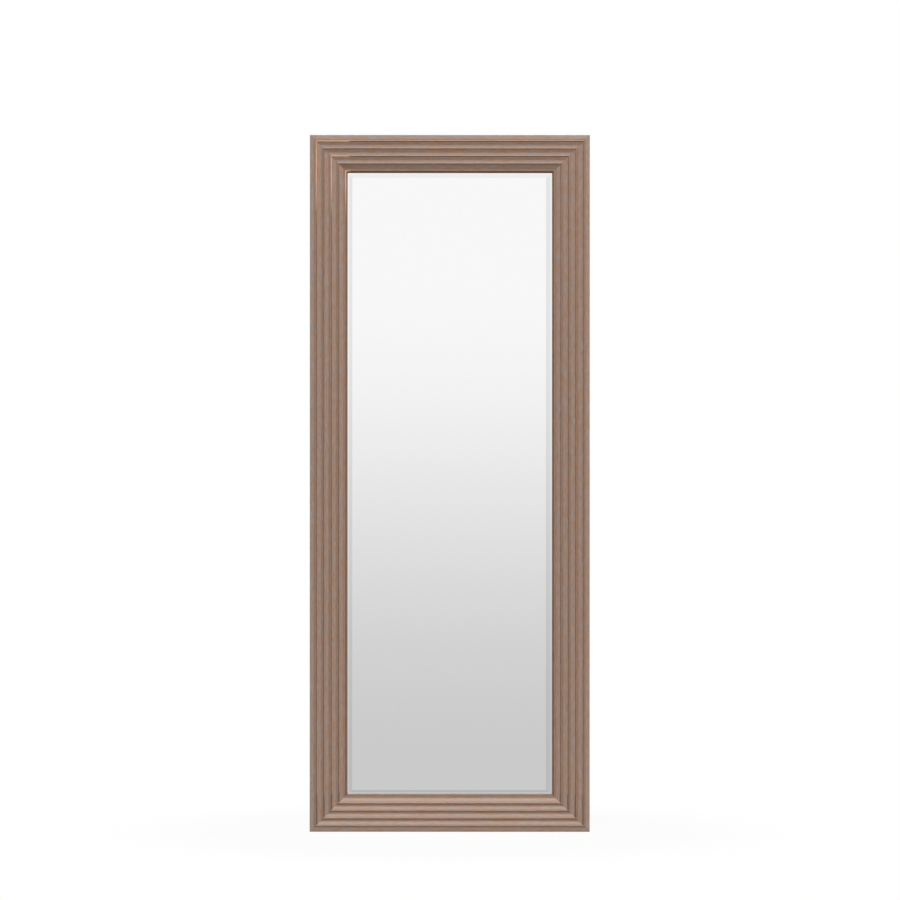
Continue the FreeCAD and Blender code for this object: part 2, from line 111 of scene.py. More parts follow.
# --- nodes ---------------------------------------------------------------------

def joined_by(operation: str, swapped: bool = False) -> Callable[[Any, Any], Any]:
    """Make an operator of a signal that adds a Math node.

    Args:
        operation: What the node does.
        swapped: Whether the other value comes first.

    Returns:
        The operator.
    """
    def join(signal: "Signal", other: Any) -> "Signal":
        """Join the signal and the other value."""
        pair = (other, signal) if swapped else (signal, other)
        return signal.wires.math(operation, *pair)

    return join


class Signal:
    """Output socket whose sums, products and comparisons are Math nodes."""

    def __init__(self, wires: "Wiring", socket: bpy.types.NodeSocket) -> None:
        """Wrap a socket of that wiring's tree."""
        self.wires, self.socket = wires, socket

    __add__ = __radd__ = joined_by("ADD")
    __mul__ = __rmul__ = joined_by("MULTIPLY")
    __sub__ = joined_by("SUBTRACT")
    __rsub__ = joined_by("SUBTRACT", swapped=True)
    __truediv__ = joined_by("DIVIDE")
    __gt__ = joined_by("GREATER_THAN")
    __lt__ = joined_by("LESS_THAN")


class Wiring:
    """Adds nodes to one tree and joins them."""

    def __init__(self, tree: bpy.types.NodeTree) -> None:
        """Start on a tree that may already hold nodes."""
        self.tree = tree

    def node(self, kind: str, inputs: Mapping[Any, Any] | None = None,
             **settings: Any) -> bpy.types.Node:
        """Add one node.

        Args:
            kind: Blender's type name of the node.
            inputs: Signals or plain values, by the input's name or number.
            settings: Properties of the node.

        Returns:
            The node.
        """
        made = self.tree.nodes.new(kind)
        count = len(self.tree.nodes)
        made.location = (200 * (count % 14), -280 * (count // 14))
        for name, value in settings.items():
            setattr(made, name, value)
        for key, value in (inputs or {}).items():
            self.feed(made.inputs[key], value)
        return made

    def out(self, kind: str, inputs: Mapping[Any, Any] | None = None, output: Any = 0,
            **settings: Any) -> Signal:
        """Add one node and give one of its outputs.

        Args:
            kind: Blender's type name of the node.
            inputs: Signals or plain values, by the input's name or number.
            output: Name or number of the output.
            settings: Properties of the node.

        Returns:
            The output.
        """
        return Signal(self, self.node(kind, inputs, **settings).outputs[output])

    def feed(self, socket: bpy.types.NodeSocket, value: Any) -> None:
        """Link a signal to an input, or set the input's own value."""
        if isinstance(value, Signal):
            self.tree.links.new(value.socket, socket)
        else:
            socket.default_value = value

    def fill(self, node: bpy.types.Node, **values: Any) -> None:
        """Feed inputs of a node by name, with underscores for spaces."""
        for name, value in values.items():
            self.feed(node.inputs[name.replace("_", " ")], value)

    def math(self, operation: str, *values: Any) -> Signal:
        """Add a Math node."""
        return self.out("ShaderNodeMath", dict(enumerate(values)), operation=operation)

    def vector(self, operation: str, *values: Any) -> Signal:
        """Add a Vector Math node."""
        return self.out("ShaderNodeVectorMath", dict(enumerate(values)), operation=operation)

    def scaled(self, vector: Signal, factor: Any) -> Signal:
        """Multiply a vector or colour by one factor."""
        return self.out("ShaderNodeVectorMath", {0: vector, "Scale": factor},
                        operation="SCALE")

    def split(self, vector: Signal) -> list[Signal]:
        """Give a vector's three parts."""
        parts = self.node("ShaderNodeSeparateXYZ", {0: vector}).outputs
        return [Signal(self, part) for part in parts]

    def join(self, x: Any, y: Any, z: Any) -> Signal:
        """Make a vector of three parts."""
        return self.out("ShaderNodeCombineXYZ", {0: x, 1: y, 2: z})

    def blend(self, share: Any, under: Any, over: Any) -> Signal:
        """Lay one colour over another by a share from 0 to 1."""
        return self.out("ShaderNodeMix", {0: share, 6: under, 7: over}, 2, data_type="RGBA")

    def choose(self, share: Any, under: Any, over: Any) -> Signal:
        """Go from one value to another by a share from 0 to 1."""
        return self.out("ShaderNodeMix", {0: share, 2: under, 3: over}, data_type="FLOAT")

    def noise(self, vector: Any, scale: Any, detail: float = 2.0,
              roughness: float = 0.5) -> Signal:
        """Add a noise texture and give its value."""
        return self.out("ShaderNodeTexNoise", {
            "Vector": vector, "Scale": scale, "Detail": detail, "Roughness": roughness})

    def step(self, value: Any, low: Any, high: Any, start: Any = 0.0, end: Any = 1.0) -> Signal:
        """Rise smoothly from start to end while the value goes from low to high."""
        return self.out("ShaderNodeMapRange", {0: value, 1: low, 2: high, 3: start, 4: end},
                        interpolation_type="SMOOTHSTEP")

    def window(self, value: Signal, rise: Span, fall: Span) -> Signal:
        """Rise from 0 to 1 over one span of the value and fall back over another."""
        return self.step(value, *rise) * (1.0 - self.step(value, *fall))

    def bump(self, height: Any, distance: float, strength: float = 1.0) -> Signal:
        """Turn a height into a normal."""
        return self.out("ShaderNodeBump", {"Height": height, "Distance": distance,
                                           "Strength": strength})

    def group(self, tree: bpy.types.NodeTree, **values: Any) -> dict[str, Signal]:
        """Place a node group with its inputs by name, and give its outputs by name."""
        made = self.node("ShaderNodeGroup", node_tree=tree)
        self.fill(made, **values)
        return {socket.name: Signal(self, socket) for socket in made.outputs}

    def place(self) -> Signal:
        """Give the place on the piece, in metres."""
        return self.out("ShaderNodeTexCoord", output="Object")

    def attribute(self, name: str, output: str) -> Signal:
        """Read an attribute of the mesh in a material."""
        return self.out("ShaderNodeAttribute", output=output, attribute_type="GEOMETRY",
                        attribute_name=name)

    def reflected(self) -> Signal:
        """Give 1 for rays that come by a reflection or through glass."""
        path = self.node("ShaderNodeLightPath").outputs
        return self.math("MAXIMUM", Signal(self, path["Is Glossy Ray"]),
                         Signal(self, path["Is Transmission Ray"]))

    def store(self, geometry: Signal, name: str, value: Any, kind: str = "FLOAT",
              domain: str = "POINT") -> Signal:
        """Store a named attribute on a geometry."""
        return self.out("GeometryNodeStoreNamedAttribute", {
            "Geometry": geometry, "Name": name, "Value": value}, data_type=kind, domain=domain)

    def mark(self, geometry: Signal, **values: Signal) -> Signal:
        """Store numbers on the points of a geometry, by attribute name."""
        for name, value in values.items():
            geometry = self.store(geometry, name, value)
        return geometry

    def stored(self, name: str, kind: str = "FLOAT") -> Signal:
        """Read a named attribute of a geometry."""
        return self.out("GeometryNodeInputNamedAttribute", {"Name": name}, data_type=kind)

    def smooth(self, geometry: Signal, limit: float) -> Signal:
        """Shade smooth, but for edges that turn by more than a limit in degrees."""
        angle = self.out("GeometryNodeInputMeshEdgeAngle")
        sharp = self.store(geometry, "sharp_edge", angle > math.radians(limit), "BOOLEAN",
                           "EDGE")
        return self.out("GeometryNodeSetShadeSmooth", {"Geometry": sharp})

    def finished(self, geometry: Signal, finish: Signal) -> Signal:
        """Realize the instances and set the material, as every tree ends."""
        real = self.out("GeometryNodeRealizeInstances", {"Geometry": geometry})
        return self.out("GeometryNodeSetMaterial", {"Geometry": real, "Material": finish})


def open_group(name: str, kind: str, inputs: Sequence[tuple[str, str, Any]],
               outputs: Sequence[tuple[str, str]]
               ) -> tuple[Wiring, dict[str, Signal], bpy.types.Node]:
    """Start a node group with named sockets.

    Args:
        name: Name of the group.
        kind: Type of its tree.
        inputs: Name, socket type and default of each input.
        outputs: Name and socket type of each output.

    Returns:
        Its wiring, its inputs by name, and its output node.
    """
    tree = bpy.data.node_groups.new(name, kind)
    for title, socket_kind, value in inputs:
        socket = tree.interface.new_socket(title, in_out="INPUT", socket_type=socket_kind)
        if value is not None:
            socket.default_value = value
    for title, socket_kind in outputs:
        tree.interface.new_socket(title, in_out="OUTPUT", socket_type=socket_kind)
    wires = Wiring(tree)
    entry = wires.node("NodeGroupInput").outputs
    return (wires, {socket.name: Signal(wires, socket) for socket in entry},
            wires.node("NodeGroupOutput"))


class SurfaceEffects:
    """Shader node groups that several finishes share, each built once."""

    def __init__(self) -> None:
        """Build the groups."""
        self.streaks = self.build_streaks()
        self.patches = self.build_patches()
        self.pits = self.build_pits()
        self.dust = self.build_dust()

    @staticmethod
    def build_streaks() -> bpy.types.NodeTree:
        """Fine lines along the vector's X, as a brush or a planer leaves them."""
        wires, entry, out = open_group("long_streaks", "ShaderNodeTree", [
            ("Vector", VECTOR, None), ("Length", FLOAT, 0.05), ("Width", FLOAT, 0.001),
        ], [("Tone", FLOAT), ("Height", FLOAT)])
        x, y, z = wires.split(entry["Vector"])
        line = wires.join(x / entry["Length"], y / entry["Width"], z / entry["Width"])
        broad = wires.noise(wires.vector("MULTIPLY", line, (0.6, 0.35, 0.35)), 1.0, 2.0)
        fine = wires.noise(line, 1.0, 3.0, 0.6)
        wires.fill(out, Tone=broad * 0.45 + fine * 0.55, Height=fine)
        return wires.tree

    @staticmethod
    def build_patches() -> bpy.types.NodeTree:
        """Soft-edged patches that cover a given share of the surface."""
        wires, entry, out = open_group("soft_patches", "ShaderNodeTree", [
            ("Vector", VECTOR, None), ("Size", FLOAT, 0.02), ("Level", FLOAT, 0.55),
            ("Edge", FLOAT, 0.08),
        ], [("Mask", FLOAT)])
        size, level, edge = entry["Size"], entry["Level"], entry["Edge"]
        place = wires.vector("DIVIDE", entry["Vector"], wires.join(size, size, size))
        cloud = wires.noise(place, 1.0, 3.0, 0.55)
        wires.fill(out, Mask=wires.step(cloud, level - edge, level + edge))
        return wires.tree

    @staticmethod
    def build_pits() -> bpy.types.NodeTree:
        """Fine grain: small pores with a little variation between them."""
        wires, entry, out = open_group("fine_pits", "ShaderNodeTree", [
            ("Vector", VECTOR, None), ("Size", FLOAT, 0.001),
        ], [("Tone", FLOAT), ("Height", FLOAT)])
        size = entry["Size"]
        place = wires.vector("DIVIDE", entry["Vector"], wires.join(size, size, size))
        cells = wires.out("ShaderNodeTexVoronoi", {"Vector": place, "Scale": 1.0}, "Distance",
                          feature="F1")
        grain = wires.noise(place, 1.3, 4.0, 0.65)
        wires.fill(out, Tone=grain, Height=cells * grain)
        return wires.tree

    @staticmethod
    def build_dust() -> bpy.types.NodeTree:
        """A thin settled film on faces that look up."""
        wires, entry, out = open_group("settled_dust", "ShaderNodeTree", [
            ("Vector", VECTOR, None), ("Amount", FLOAT, 0.3),
        ], [("Mask", FLOAT)])
        normal = wires.out("ShaderNodeNewGeometry", output="Normal")
        up = wires.step(wires.split(normal)[2], 0.55, 1.0)
        cloud = wires.noise(entry["Vector"], 160.0, 3.0, 0.6)
        wires.fill(out, Mask=up * cloud * entry["Amount"])
        return wires.tree


def start_material(name: str) -> tuple[bpy.types.Material, Wiring, bpy.types.Node]:
    """Start a material with one Principled shader.

    Args:
        name: Name of the material.

    Returns:
        The material, its wiring and its shader.
    """
    material = bpy.data.materials.new(name)
    material.use_nodes = True
    material.node_tree.nodes.clear()
    wires = Wiring(material.node_tree)
    shader = wires.node("ShaderNodeBsdfPrincipled")
    wires.node("ShaderNodeOutputMaterial", {"Surface": Signal(wires, shader.outputs[0])})
    return material, wires, shader


# --- finishes --------------------------------------------------------------------

@dataclass(frozen=True)
class CopperWashFinish:
    """Taupe wash brushed over copper leaf that shows through on the crests, bare wood behind,
    with painted shade and a painted highlight.
    """

    rosy: Colour = srgb(158, 120, 90)
    lilac: Colour = srgb(147, 137, 133)
    copper: Colour = srgb(178, 130, 94)
    bronze: Colour = srgb(116, 84, 60)
    lip: Colour = srgb(110, 80, 57)
    # Bright peach of the painted highlight, a lamp's glint on the left stile's upper lines.
    rubbed_and_highlight: Colour = srgb(226, 174, 134)
    # Dark colour glazed into the mitres, and into the foot and quirk of each band as glazing
    # deepened with painted shade.
    glaze_and_shade: Colour = srgb(98, 82, 71)
    bare_wood: Colour = srgb(196, 164, 124)
    bare_wood_dark: Colour = srgb(158, 122, 84)
    dust: Colour = srgb(214, 208, 200)
    roughness: float = 0.42
    bare_roughness: float = 0.82
    specular: float = 0.28

    # A band runs from one arris to the next: riser, scoop, quirk and crest.
    pitch: float = 0.01635
    first_arris: float = 0.0136
    last_band: Span = (0.0700, 0.0740)
    last_band_shift: float = 0.0011
    # Shares of a band over which its marks rise and fall.
    crest: Span = (0.896, 0.904)
    bead: tuple[Span, Span] = ((0.90, 0.925), (0.965, 0.99))
    leaf_before_arris: Span = (0.96, 0.99)
    leaf_after_arris: Span = (0.045, 0.15)
    # The foot and quirk take glazing, darkened further as painted shade where the recess would
    # be in shadow.
    foot: tuple[Span, Span] = ((0.58, 0.70), (0.88, 0.91))
    foot_glaze_and_shade: float = 0.30
    quirk: tuple[Span, Span] = ((0.82, 0.87), (0.89, 0.91))
    quirk_glaze_and_shade: float = 0.38
    # Span of a band darkened by the lowest rail's painted shade.
    shaded_inner_edge: tuple[Span, Span] = ((0.03, 0.09), (0.16, 0.28))
    # Insets and heights where the marks, the lip and the bare wood start.
    face_start: float = 0.0110
    glaze_and_shade_start: Span = (0.0075, 0.0090)
    lip_start: Span = (0.0783, 0.0796)
    lip_share: float = 0.66
    mitre_line: Span = (0.0001, 0.0007)
    rebate_inset: float = 0.0768
    rebate_height: float = 0.0175
    paint_edge: float = 0.0002
    paint_fuzz: float = 0.0016
    # How far the pattern moves from one strip of the section to the next.
    band_shift: float = 7.31
    crest_shift: float = 3.17
    # Scales of the patches along the rail, across it and over its height.
    broad_scale: Triple = (0.42, 2.2, 1.2)
    small_scale: Triple = (0.26, 1.9, 1.2)
    worn_place: Triple = (23.9, 1.7, 8.1)
    broad_share: float = 0.42
    small_share: float = 0.58
    # Shares of leaf on the beads and lines, and of metal in each.
    bead_leaf: Span = (0.35, 0.4)
    line_leaf: float = 0.9
    mitre_glaze: float = 0.5
    bead_metal: float = 0.3
    line_metal: float = 0.6
    # Tone and roughness that the brush's streaks add.
    streak_tone: Span = (0.60, 0.80)
    streak_gloss: float = 0.14
    metal_gloss: float = 0.10
    wood_tones: Span = (0.35, 0.65)
    settled: float = 0.10
    # Heights of the lowest rail, darkened as painted shade, and of the painted highlight on the
    # left stile's upper end.
    low_rail: Span = (0.090, 0.075)
    low_rail_shade_share: float = 0.32
    painted_highlight_height: Span = (1.33, 1.43)
    painted_highlight_side: Span = (-0.215, -0.225)
    painted_highlight_share: float = 0.85

    def painted_highlight_corner(self, wires: Wiring, steps: Signal, line: Signal) -> Signal:
        """Mask the painted highlight, a lamp's glint painted on the lines of the left stile's
        upper end.

        Args:
            wires: The material's wiring.
            steps: Count of bands from the first arris.
            line: Mask of the leaf lines.

        Returns:
            The mask, of every second line.
        """
        x, _, z = wires.split(wires.place())
        even = wires.math("MODULO", wires.math("ROUND", steps), 2.0) < 0.5
        high = wires.step(z, *self.painted_highlight_height) * wires.step(x, *self.painted_highlight_side)
        return even * (steps > -0.1) * high * line * self.painted_highlight_share

    def build(self, effects: SurfaceEffects) -> bpy.types.Material:
        """Build the material.

        Args:
            effects: The shared groups.

        Returns:
            The material.
        """
        material, wires, shader = start_material("copper_wash")
        place = wires.attribute("grain", "Vector")
        along, inset, height = wires.split(place)

        drawn = inset + wires.step(inset, *self.last_band, 0.0, self.last_band_shift)
        steps = (drawn - self.first_arris) / self.pitch
        band = wires.math("FLOOR", steps)
        part = steps - band
        bead = wires.window(part, *self.bead)
        leaf_line = wires.math("MAXIMUM", wires.step(part, *self.leaf_before_arris),
                               1.0 - wires.step(part, *self.leaf_after_arris))
        # Glazing in the foot and quirk of each band, partly painted shade where the recess
        # would fall into shadow.
        glaze_and_shade_in_hollows = (wires.window(part, *self.foot) * self.foot_glaze_and_shade
                   + wires.window(part, *self.quirk) * self.quirk_glaze_and_shade)
        face = inset > self.face_start

        # Each strip of a band has a pattern of its own, drawn out along the rail.
        strip = band * self.band_shift + wires.step(part, *self.crest) * self.crest_shift
        flow, near = (wires.join(along * far, inset * across + strip, height * deep)
                      for far, across, deep in (self.broad_scale, self.small_scale))
        worn = wires.vector("ADD", flow, self.worn_place)
        # The third mask is wear, where more copper shows through on the beads.
        broad, small, rubbed_and_highlight = (
            wires.group(effects.patches, Vector=vector, Size=size, Level=level,
                        Edge=edge)["Mask"]
            for vector, size, level, edge in ((flow, 0.010, 0.5, 0.17),
                                              (near, 0.0034, 0.5, 0.14),
                                              (worn, 0.02, 0.47, 0.16)))
        streak = wires.group(effects.streaks, Vector=place, Length=0.011, Width=0.0012)

        least, more = self.bead_leaf
        copper = bead * face * (rubbed_and_highlight * more + least)
        bronze = leaf_line * face
        mitre = wires.step(wires.attribute("mitre", "Fac"), *self.mitre_line)
        paint = wires.blend(broad * self.broad_share + small * self.small_share, self.rosy,
                            self.lilac)
        for share, colour in (
                (copper, self.copper),
                # Glazing and painted shade in the foot and quirk of each band.
                (glaze_and_shade_in_hollows * wires.step(inset, *self.glaze_and_shade_start), self.glaze_and_shade),
                (bronze * self.line_leaf, self.bronze),
                (wires.step(inset, *self.lip_start, 0.0, self.lip_share), self.lip),
                # Painted highlight: a lamp's glint on every second line of the left stile's
                # upper end.
                (self.painted_highlight_corner(wires, steps, leaf_line), self.rubbed_and_highlight),
                ((1.0 - mitre) * self.mitre_glaze, self.glaze_and_shade)):
            paint = wires.blend(share, paint, colour)
        # Painted shade: the lowest rail is darkened beside its crests, where its slopes face
        # the lamp above.
        level = wires.split(wires.place())[2]
        low_rail_painted_shade = (wires.step(level, *self.low_rail, 0.0, self.low_rail_shade_share)
                * wires.window(part, *self.shaded_inner_edge))
        least, more = self.streak_tone
        paint = wires.scaled(paint, (streak["Tone"] * more + least) * (1.0 - low_rail_painted_shade))

        wood = wires.group(effects.streaks, Vector=place, Length=0.09, Width=0.0016)
        bare = wires.blend(wires.step(wood["Tone"], *self.wood_tones), self.bare_wood_dark,
                           self.bare_wood)
        rebate = (inset > self.rebate_inset) * (height < self.rebate_height)
        fuzz = wires.noise(place, 240.0, 2.0) * self.paint_fuzz
        raw = wires.math("MAXIMUM", rebate, height < fuzz + self.paint_edge)
        painted = 1.0 - raw
        dust = wires.group(effects.dust, Vector=wires.place(), Amount=self.settled)
        metal = copper * self.bead_metal + bronze * self.line_metal
        gloss = (streak["Tone"] * self.streak_gloss + self.roughness
                 - metal * self.metal_gloss)
        relief = streak["Height"] * 0.7 + wood["Height"] * (raw * 1.5)
        wires.fill(shader,
                   Base_Color=wires.blend(dust["Mask"], wires.blend(raw, paint, bare),
                                          self.dust),
                   Roughness=gloss * painted + raw * self.bare_roughness,
                   Metallic=metal * painted,
                   Specular_IOR_Level=self.specular,
                   Normal=wires.bump(relief, 0.00012, 0.8))
        return material


@dataclass(frozen=True)
class SilverFinish:
    """Silver seen through clear glass, with the bevel's own tones."""

    plain: Colour = (0.985, 0.985, 0.985, 1.0)
    bevel: Colour = (0.978, 0.982, 0.983, 1.0)
    rim: Colour = (0.915, 0.955, 0.975, 1.0)
    bevel_reach: Span = (0.001, 0.02)
    rim_reach: Span = (1.0, 1.05)
    speck_tones: Span = (0.70, 0.80)

    def build(self, effects: SurfaceEffects) -> bpy.types.Material:
        """Build the material from the shared groups."""
        material, wires, shader = start_material("silvered_glass")
        reach = wires.attribute("bevel_reach", "Fac")
        place = wires.place()
        haze = wires.group(effects.patches, Vector=place, Size=0.11, Level=0.60, Edge=0.12)
        specks = wires.group(effects.pits, Vector=place, Size=0.0016)
        colour = wires.blend(wires.step(reach, *self.bevel_reach), self.plain, self.bevel)
        colour = wires.blend(wires.step(reach, *self.rim_reach), colour, self.rim)
        film = wires.step(specks["Tone"], *self.speck_tones)
        wires.fill(shader, Base_Color=colour,
                   Roughness=haze["Mask"] * 0.006 + film * 0.010, Metallic=1.0)
        return material


@dataclass(frozen=True)
class GlassEdgeFinish:
    """Ground edge of the pane: pale green glass, finely frosted."""

    clear: Colour = srgb(172, 200, 188)
    deep: Colour = srgb(118, 156, 142)

    def build(self, effects: SurfaceEffects) -> bpy.types.Material:
        """Build the material from the shared groups."""
        material, wires, shader = start_material("ground_glass_edge")
        grains = wires.group(effects.pits, Vector=wires.place(), Size=0.0009)
        wires.fill(shader, Base_Color=wires.blend(grains["Tone"], self.deep, self.clear),
                   Roughness=grains["Tone"] * 0.3 + 0.28,
                   Normal=wires.bump(grains["Height"], 0.00008))
        return material


@dataclass(frozen=True)
class BackingPaintFinish:
    """Grey protective paint on the back of the silver."""

    base: Colour = srgb(96, 99, 102)
    thin: Colour = srgb(122, 124, 126)

    def build(self, effects: SurfaceEffects) -> bpy.types.Material:
        """Build the material from the shared groups."""
        material, wires, shader = start_material("backing_paint")
        place = wires.place()
        rolled = wires.group(effects.pits, Vector=place, Size=0.0022)
        cloud = wires.group(effects.patches, Vector=place, Size=0.07, Level=0.52, Edge=0.2)
        wires.fill(shader, Base_Color=wires.blend(cloud["Mask"], self.base, self.thin),
                   Roughness=rolled["Tone"] * 0.25 + 0.5,
                   Normal=wires.bump(rolled["Height"], 0.0001))
        return material


@dataclass(frozen=True)
class HardboardFinish:
    """Pressed brown fibreboard with its screen pattern and stray fibres."""

    brown: Colour = srgb(134, 98, 66)
    dark: Colour = srgb(104, 74, 48)
    fibre: Colour = srgb(170, 134, 96)
    mesh_pitch: float = 0.0019
    screen_tones: Span = (-0.2, 1.0)
    screen_share: float = 0.28
    fibre_tones: Span = (0.56, 0.70)
    crossed_tones: Span = (0.57, 0.72)
    fibre_share: float = 0.6

    def build(self, effects: SurfaceEffects) -> bpy.types.Material:
        """Build the material from the shared groups."""
        material, wires, shader = start_material("hardboard")
        place = wires.place()
        x, _, z = wires.split(place)
        turn = 2.0 * math.pi / self.mesh_pitch
        screen = wires.math("SINE", x * turn) * wires.math("SINE", z * turn)
        fibres = wires.group(effects.streaks, Vector=place, Length=0.006, Width=0.0007)
        crossed = wires.group(effects.streaks, Vector=wires.join(z, x, 0.0), Length=0.005,
                              Width=0.0006)
        strands = wires.math("MAXIMUM", wires.step(fibres["Tone"], *self.fibre_tones),
                             wires.step(crossed["Tone"], *self.crossed_tones))
        cloud = wires.group(effects.patches, Vector=place, Size=0.12, Level=0.5, Edge=0.25)
        colour = wires.blend(cloud["Mask"] * 0.5, self.brown, self.dark)
        colour = wires.blend(strands * self.fibre_share, colour, self.fibre)
        screened = wires.step(screen, *self.screen_tones, 0.0, self.screen_share)
        colour = wires.blend(screened, colour, self.dark)
        wires.fill(shader, Base_Color=colour, Roughness=strands * 0.2 + 0.62,
                   Normal=wires.bump(strands - screen * 0.8, 0.00009))
        return material


class Plating(Enum):
    """Kind of bright steel: title, light and dark tones, roughness, streak length."""

    ZINC = ("bright_zinc", srgb(186, 188, 190), srgb(150, 154, 160), 0.30, 0.004)
    SPRING = ("blued_spring_steel", srgb(128, 132, 140), srgb(88, 92, 102), 0.34, 0.006)
    NAIL = ("galvanised_nail_steel", srgb(150, 152, 152), srgb(112, 115, 118), 0.46, 0.003)


@dataclass(frozen=True)
class SteelFinish:
    """Stamped steel with a thin plating, brushed marks and slight tarnish."""

    plating: Plating

    def build(self, effects: SurfaceEffects) -> bpy.types.Material:
        """Build the material from the shared groups."""
        title, light, dark, roughness, length = self.plating.value
        material, wires, shader = start_material(title)
        place = wires.place()
        marks = wires.group(effects.streaks, Vector=place, Length=length, Width=0.0003)
        tarnish = wires.group(effects.patches, Vector=place, Size=0.006, Level=0.52,
                              Edge=0.14)["Mask"]
        grains = wires.group(effects.pits, Vector=place, Size=0.0006)
        wires.fill(shader, Base_Color=wires.blend(tarnish, light, dark),
                   Roughness=marks["Tone"] * 0.12 + roughness + tarnish * 0.12, Metallic=1.0,
                   Normal=wires.bump(marks["Height"] + grains["Height"], 0.00003))
        return material


@dataclass(frozen=True)
class RubberFinish:
    """Moulded black rubber with a fine matt grain and a little chalk."""

    black: Colour = srgb(38, 38, 39)
    chalk: Colour = srgb(92, 91, 89)

    def build(self, effects: SurfaceEffects) -> bpy.types.Material:
        """Build the material from the shared groups."""
        material, wires, shader = start_material("moulded_rubber")
        place = wires.place()
        grains = wires.group(effects.pits, Vector=place, Size=0.0005)
        chalk = wires.group(effects.patches, Vector=place, Size=0.005, Level=0.58, Edge=0.12)
        dust = wires.group(effects.dust, Vector=place, Amount=0.5)
        colour = wires.blend(chalk["Mask"] * 0.25, self.black, self.chalk)
        wires.fill(shader, Base_Color=wires.blend(dust["Mask"], colour, self.chalk),
                   Roughness=grains["Tone"] * 0.2 + 0.66,
                   Normal=wires.bump(grains["Height"], 0.00006))
        return material


@dataclass(frozen=True)
class StudioFloorFinish:
    """Pale floor that shows white to the camera but keeps a soft shadow."""

    pale: Colour = srgb(158, 158, 157)
    worn: Colour = srgb(150, 150, 148)
    white_share: float = 0.955
    all_white: Span = (0.45, 0.85)
    pane_level: float = 0.47

    def build(self) -> bpy.types.Material:
        """Build the material."""
        material = bpy.data.materials.new("studio_floor")
        material.use_nodes = True
        material.node_tree.nodes.clear()
        wires = Wiring(material.node_tree)
        passed = wires.reflected()
        seen = wires.math("MAXIMUM", wires.out("ShaderNodeLightPath", output="Is Camera Ray"),
                          passed)
        place = wires.place()
        colour = wires.blend(wires.noise(place, 3.0, 3.0) * 0.2, self.pale, self.worn)
        matt = wires.out("ShaderNodeBsdfDiffuse", {"Color": colour})
        white = wires.out("ShaderNodeEmission", {
            "Color": WHITE, "Strength": wires.choose(passed, 1.0, self.pane_level)})
        away = wires.out("ShaderNodeVectorMath", {0: place}, "Value", operation="LENGTH")
        share = seen * wires.step(away, *self.all_white, self.white_share, 1.0)
        mixed = wires.out("ShaderNodeMixShader", {0: share, 1: matt, 2: white})
        wires.node("ShaderNodeOutputMaterial", {"Surface": mixed})
        return material


class Finishes:
    """All the materials, built once."""

    def __init__(self) -> None:
        """Build the shared groups and then each material."""
        effects = SurfaceEffects()
        self.copper_wash = CopperWashFinish().build(effects)
        self.silver = SilverFinish().build(effects)
        self.glass_edge = GlassEdgeFinish().build(effects)
        self.backing_paint = BackingPaintFinish().build(effects)
        self.hardboard = HardboardFinish().build(effects)
        self.zinc = SteelFinish(Plating.ZINC).build(effects)
        self.spring_steel = SteelFinish(Plating.SPRING).build(effects)
        self.nail_steel = SteelFinish(Plating.NAIL).build(effects)
        self.rubber = RubberFinish().build(effects)


# --- making pieces -----------------------------------------------------------------

def add_object(name: str, mesh: bpy.types.Mesh) -> bpy.types.Object:
    """Link a mesh into the scene as an object of that name."""
    made = bpy.data.objects.new(name, mesh)
    bpy.context.scene.collection.objects.link(made)
    return made


def polyline(name: str, points: Sequence[Point], closed: bool) -> bpy.types.Object:
    """Make an object of one flat line of edges.

    Args:
        name: Name of the object.
        points: Its points, in the XY plane.
        closed: Whether the last point joins the first.

    Returns:
        The object.
    """
    count = len(points)
    edges = [(i, (i + 1) % count) for i in range(count if closed else count - 1)]
    mesh = bpy.data.meshes.new(name)
    mesh.from_pydata([(x, y, 0.0) for x, y in points], edges, [])
    return add_object(name, mesh)


def face_outwards(mesh: bpy.types.Mesh) -> None:
    """Turn a closed mesh right side out, if its volume counts as negative."""
    shell = bmesh.new()
    shell.from_mesh(mesh)
    inside_out = shell.calc_volume(signed=True) < 0.0
    shell.free()
    if inside_out:
        mesh.flip_normals()


def shape_with(source: bpy.types.Object, tree: bpy.types.NodeTree,
               values: Mapping[str, Any]) -> bpy.types.Object:
    """Run a tree on an object and leave its result as a plain mesh that faces outwards.

    Args:
        source: Object that carries the tree's starting geometry.
        tree: The Geometry Nodes tree.
        values: Value of each input, by the input's name.

    Returns:
        The same object with the finished mesh and no modifier.
    """
    modifier = source.modifiers.new(tree.name, "NODES")
    modifier.node_group = tree
    sockets = {item.name: item.identifier for item in tree.interface.items_tree
               if item.item_type == "SOCKET" and item.in_out == "INPUT"}
    for name, value in values.items():
        modifier[sockets[name]] = value
    graph = bpy.context.evaluated_depsgraph_get()
    graph.update()
    result = bpy.data.meshes.new_from_object(source.evaluated_get(graph),
                                             preserve_all_data_layers=True, depsgraph=graph)
    result.name = source.name
    source.modifiers.remove(modifier)
    source.data = result
    face_outwards(result)
    return source


def hand_over(piece: bpy.types.Object, body: str, node: str) -> None:
    """Give a finished piece its body, and hide the CAD node that it stands for."""
    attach(piece, body)
    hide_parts(node)
    log.info("%s: %d faces on %s, for %s", piece.name, len(piece.data.polygons), body, node)


def dress_node(name: str, finish: bpy.types.Material) -> None:
    """Give a CAD node that stays as it is its finish."""
    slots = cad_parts[name].data.materials
    if len(slots):
        for index in range(len(slots)):
            slots[index] = finish
    else:
        slots.append(finish)
    log.info("%s: kept, in %s", name, finish.name)


def node_box(name: str) -> tuple[Vector, Vector, Vector]:
    """Give the low corner, high corner and middle of a CAD node."""
    low, high = (Vector(corner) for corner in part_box(name))
    return low, high, (low + high) / 2


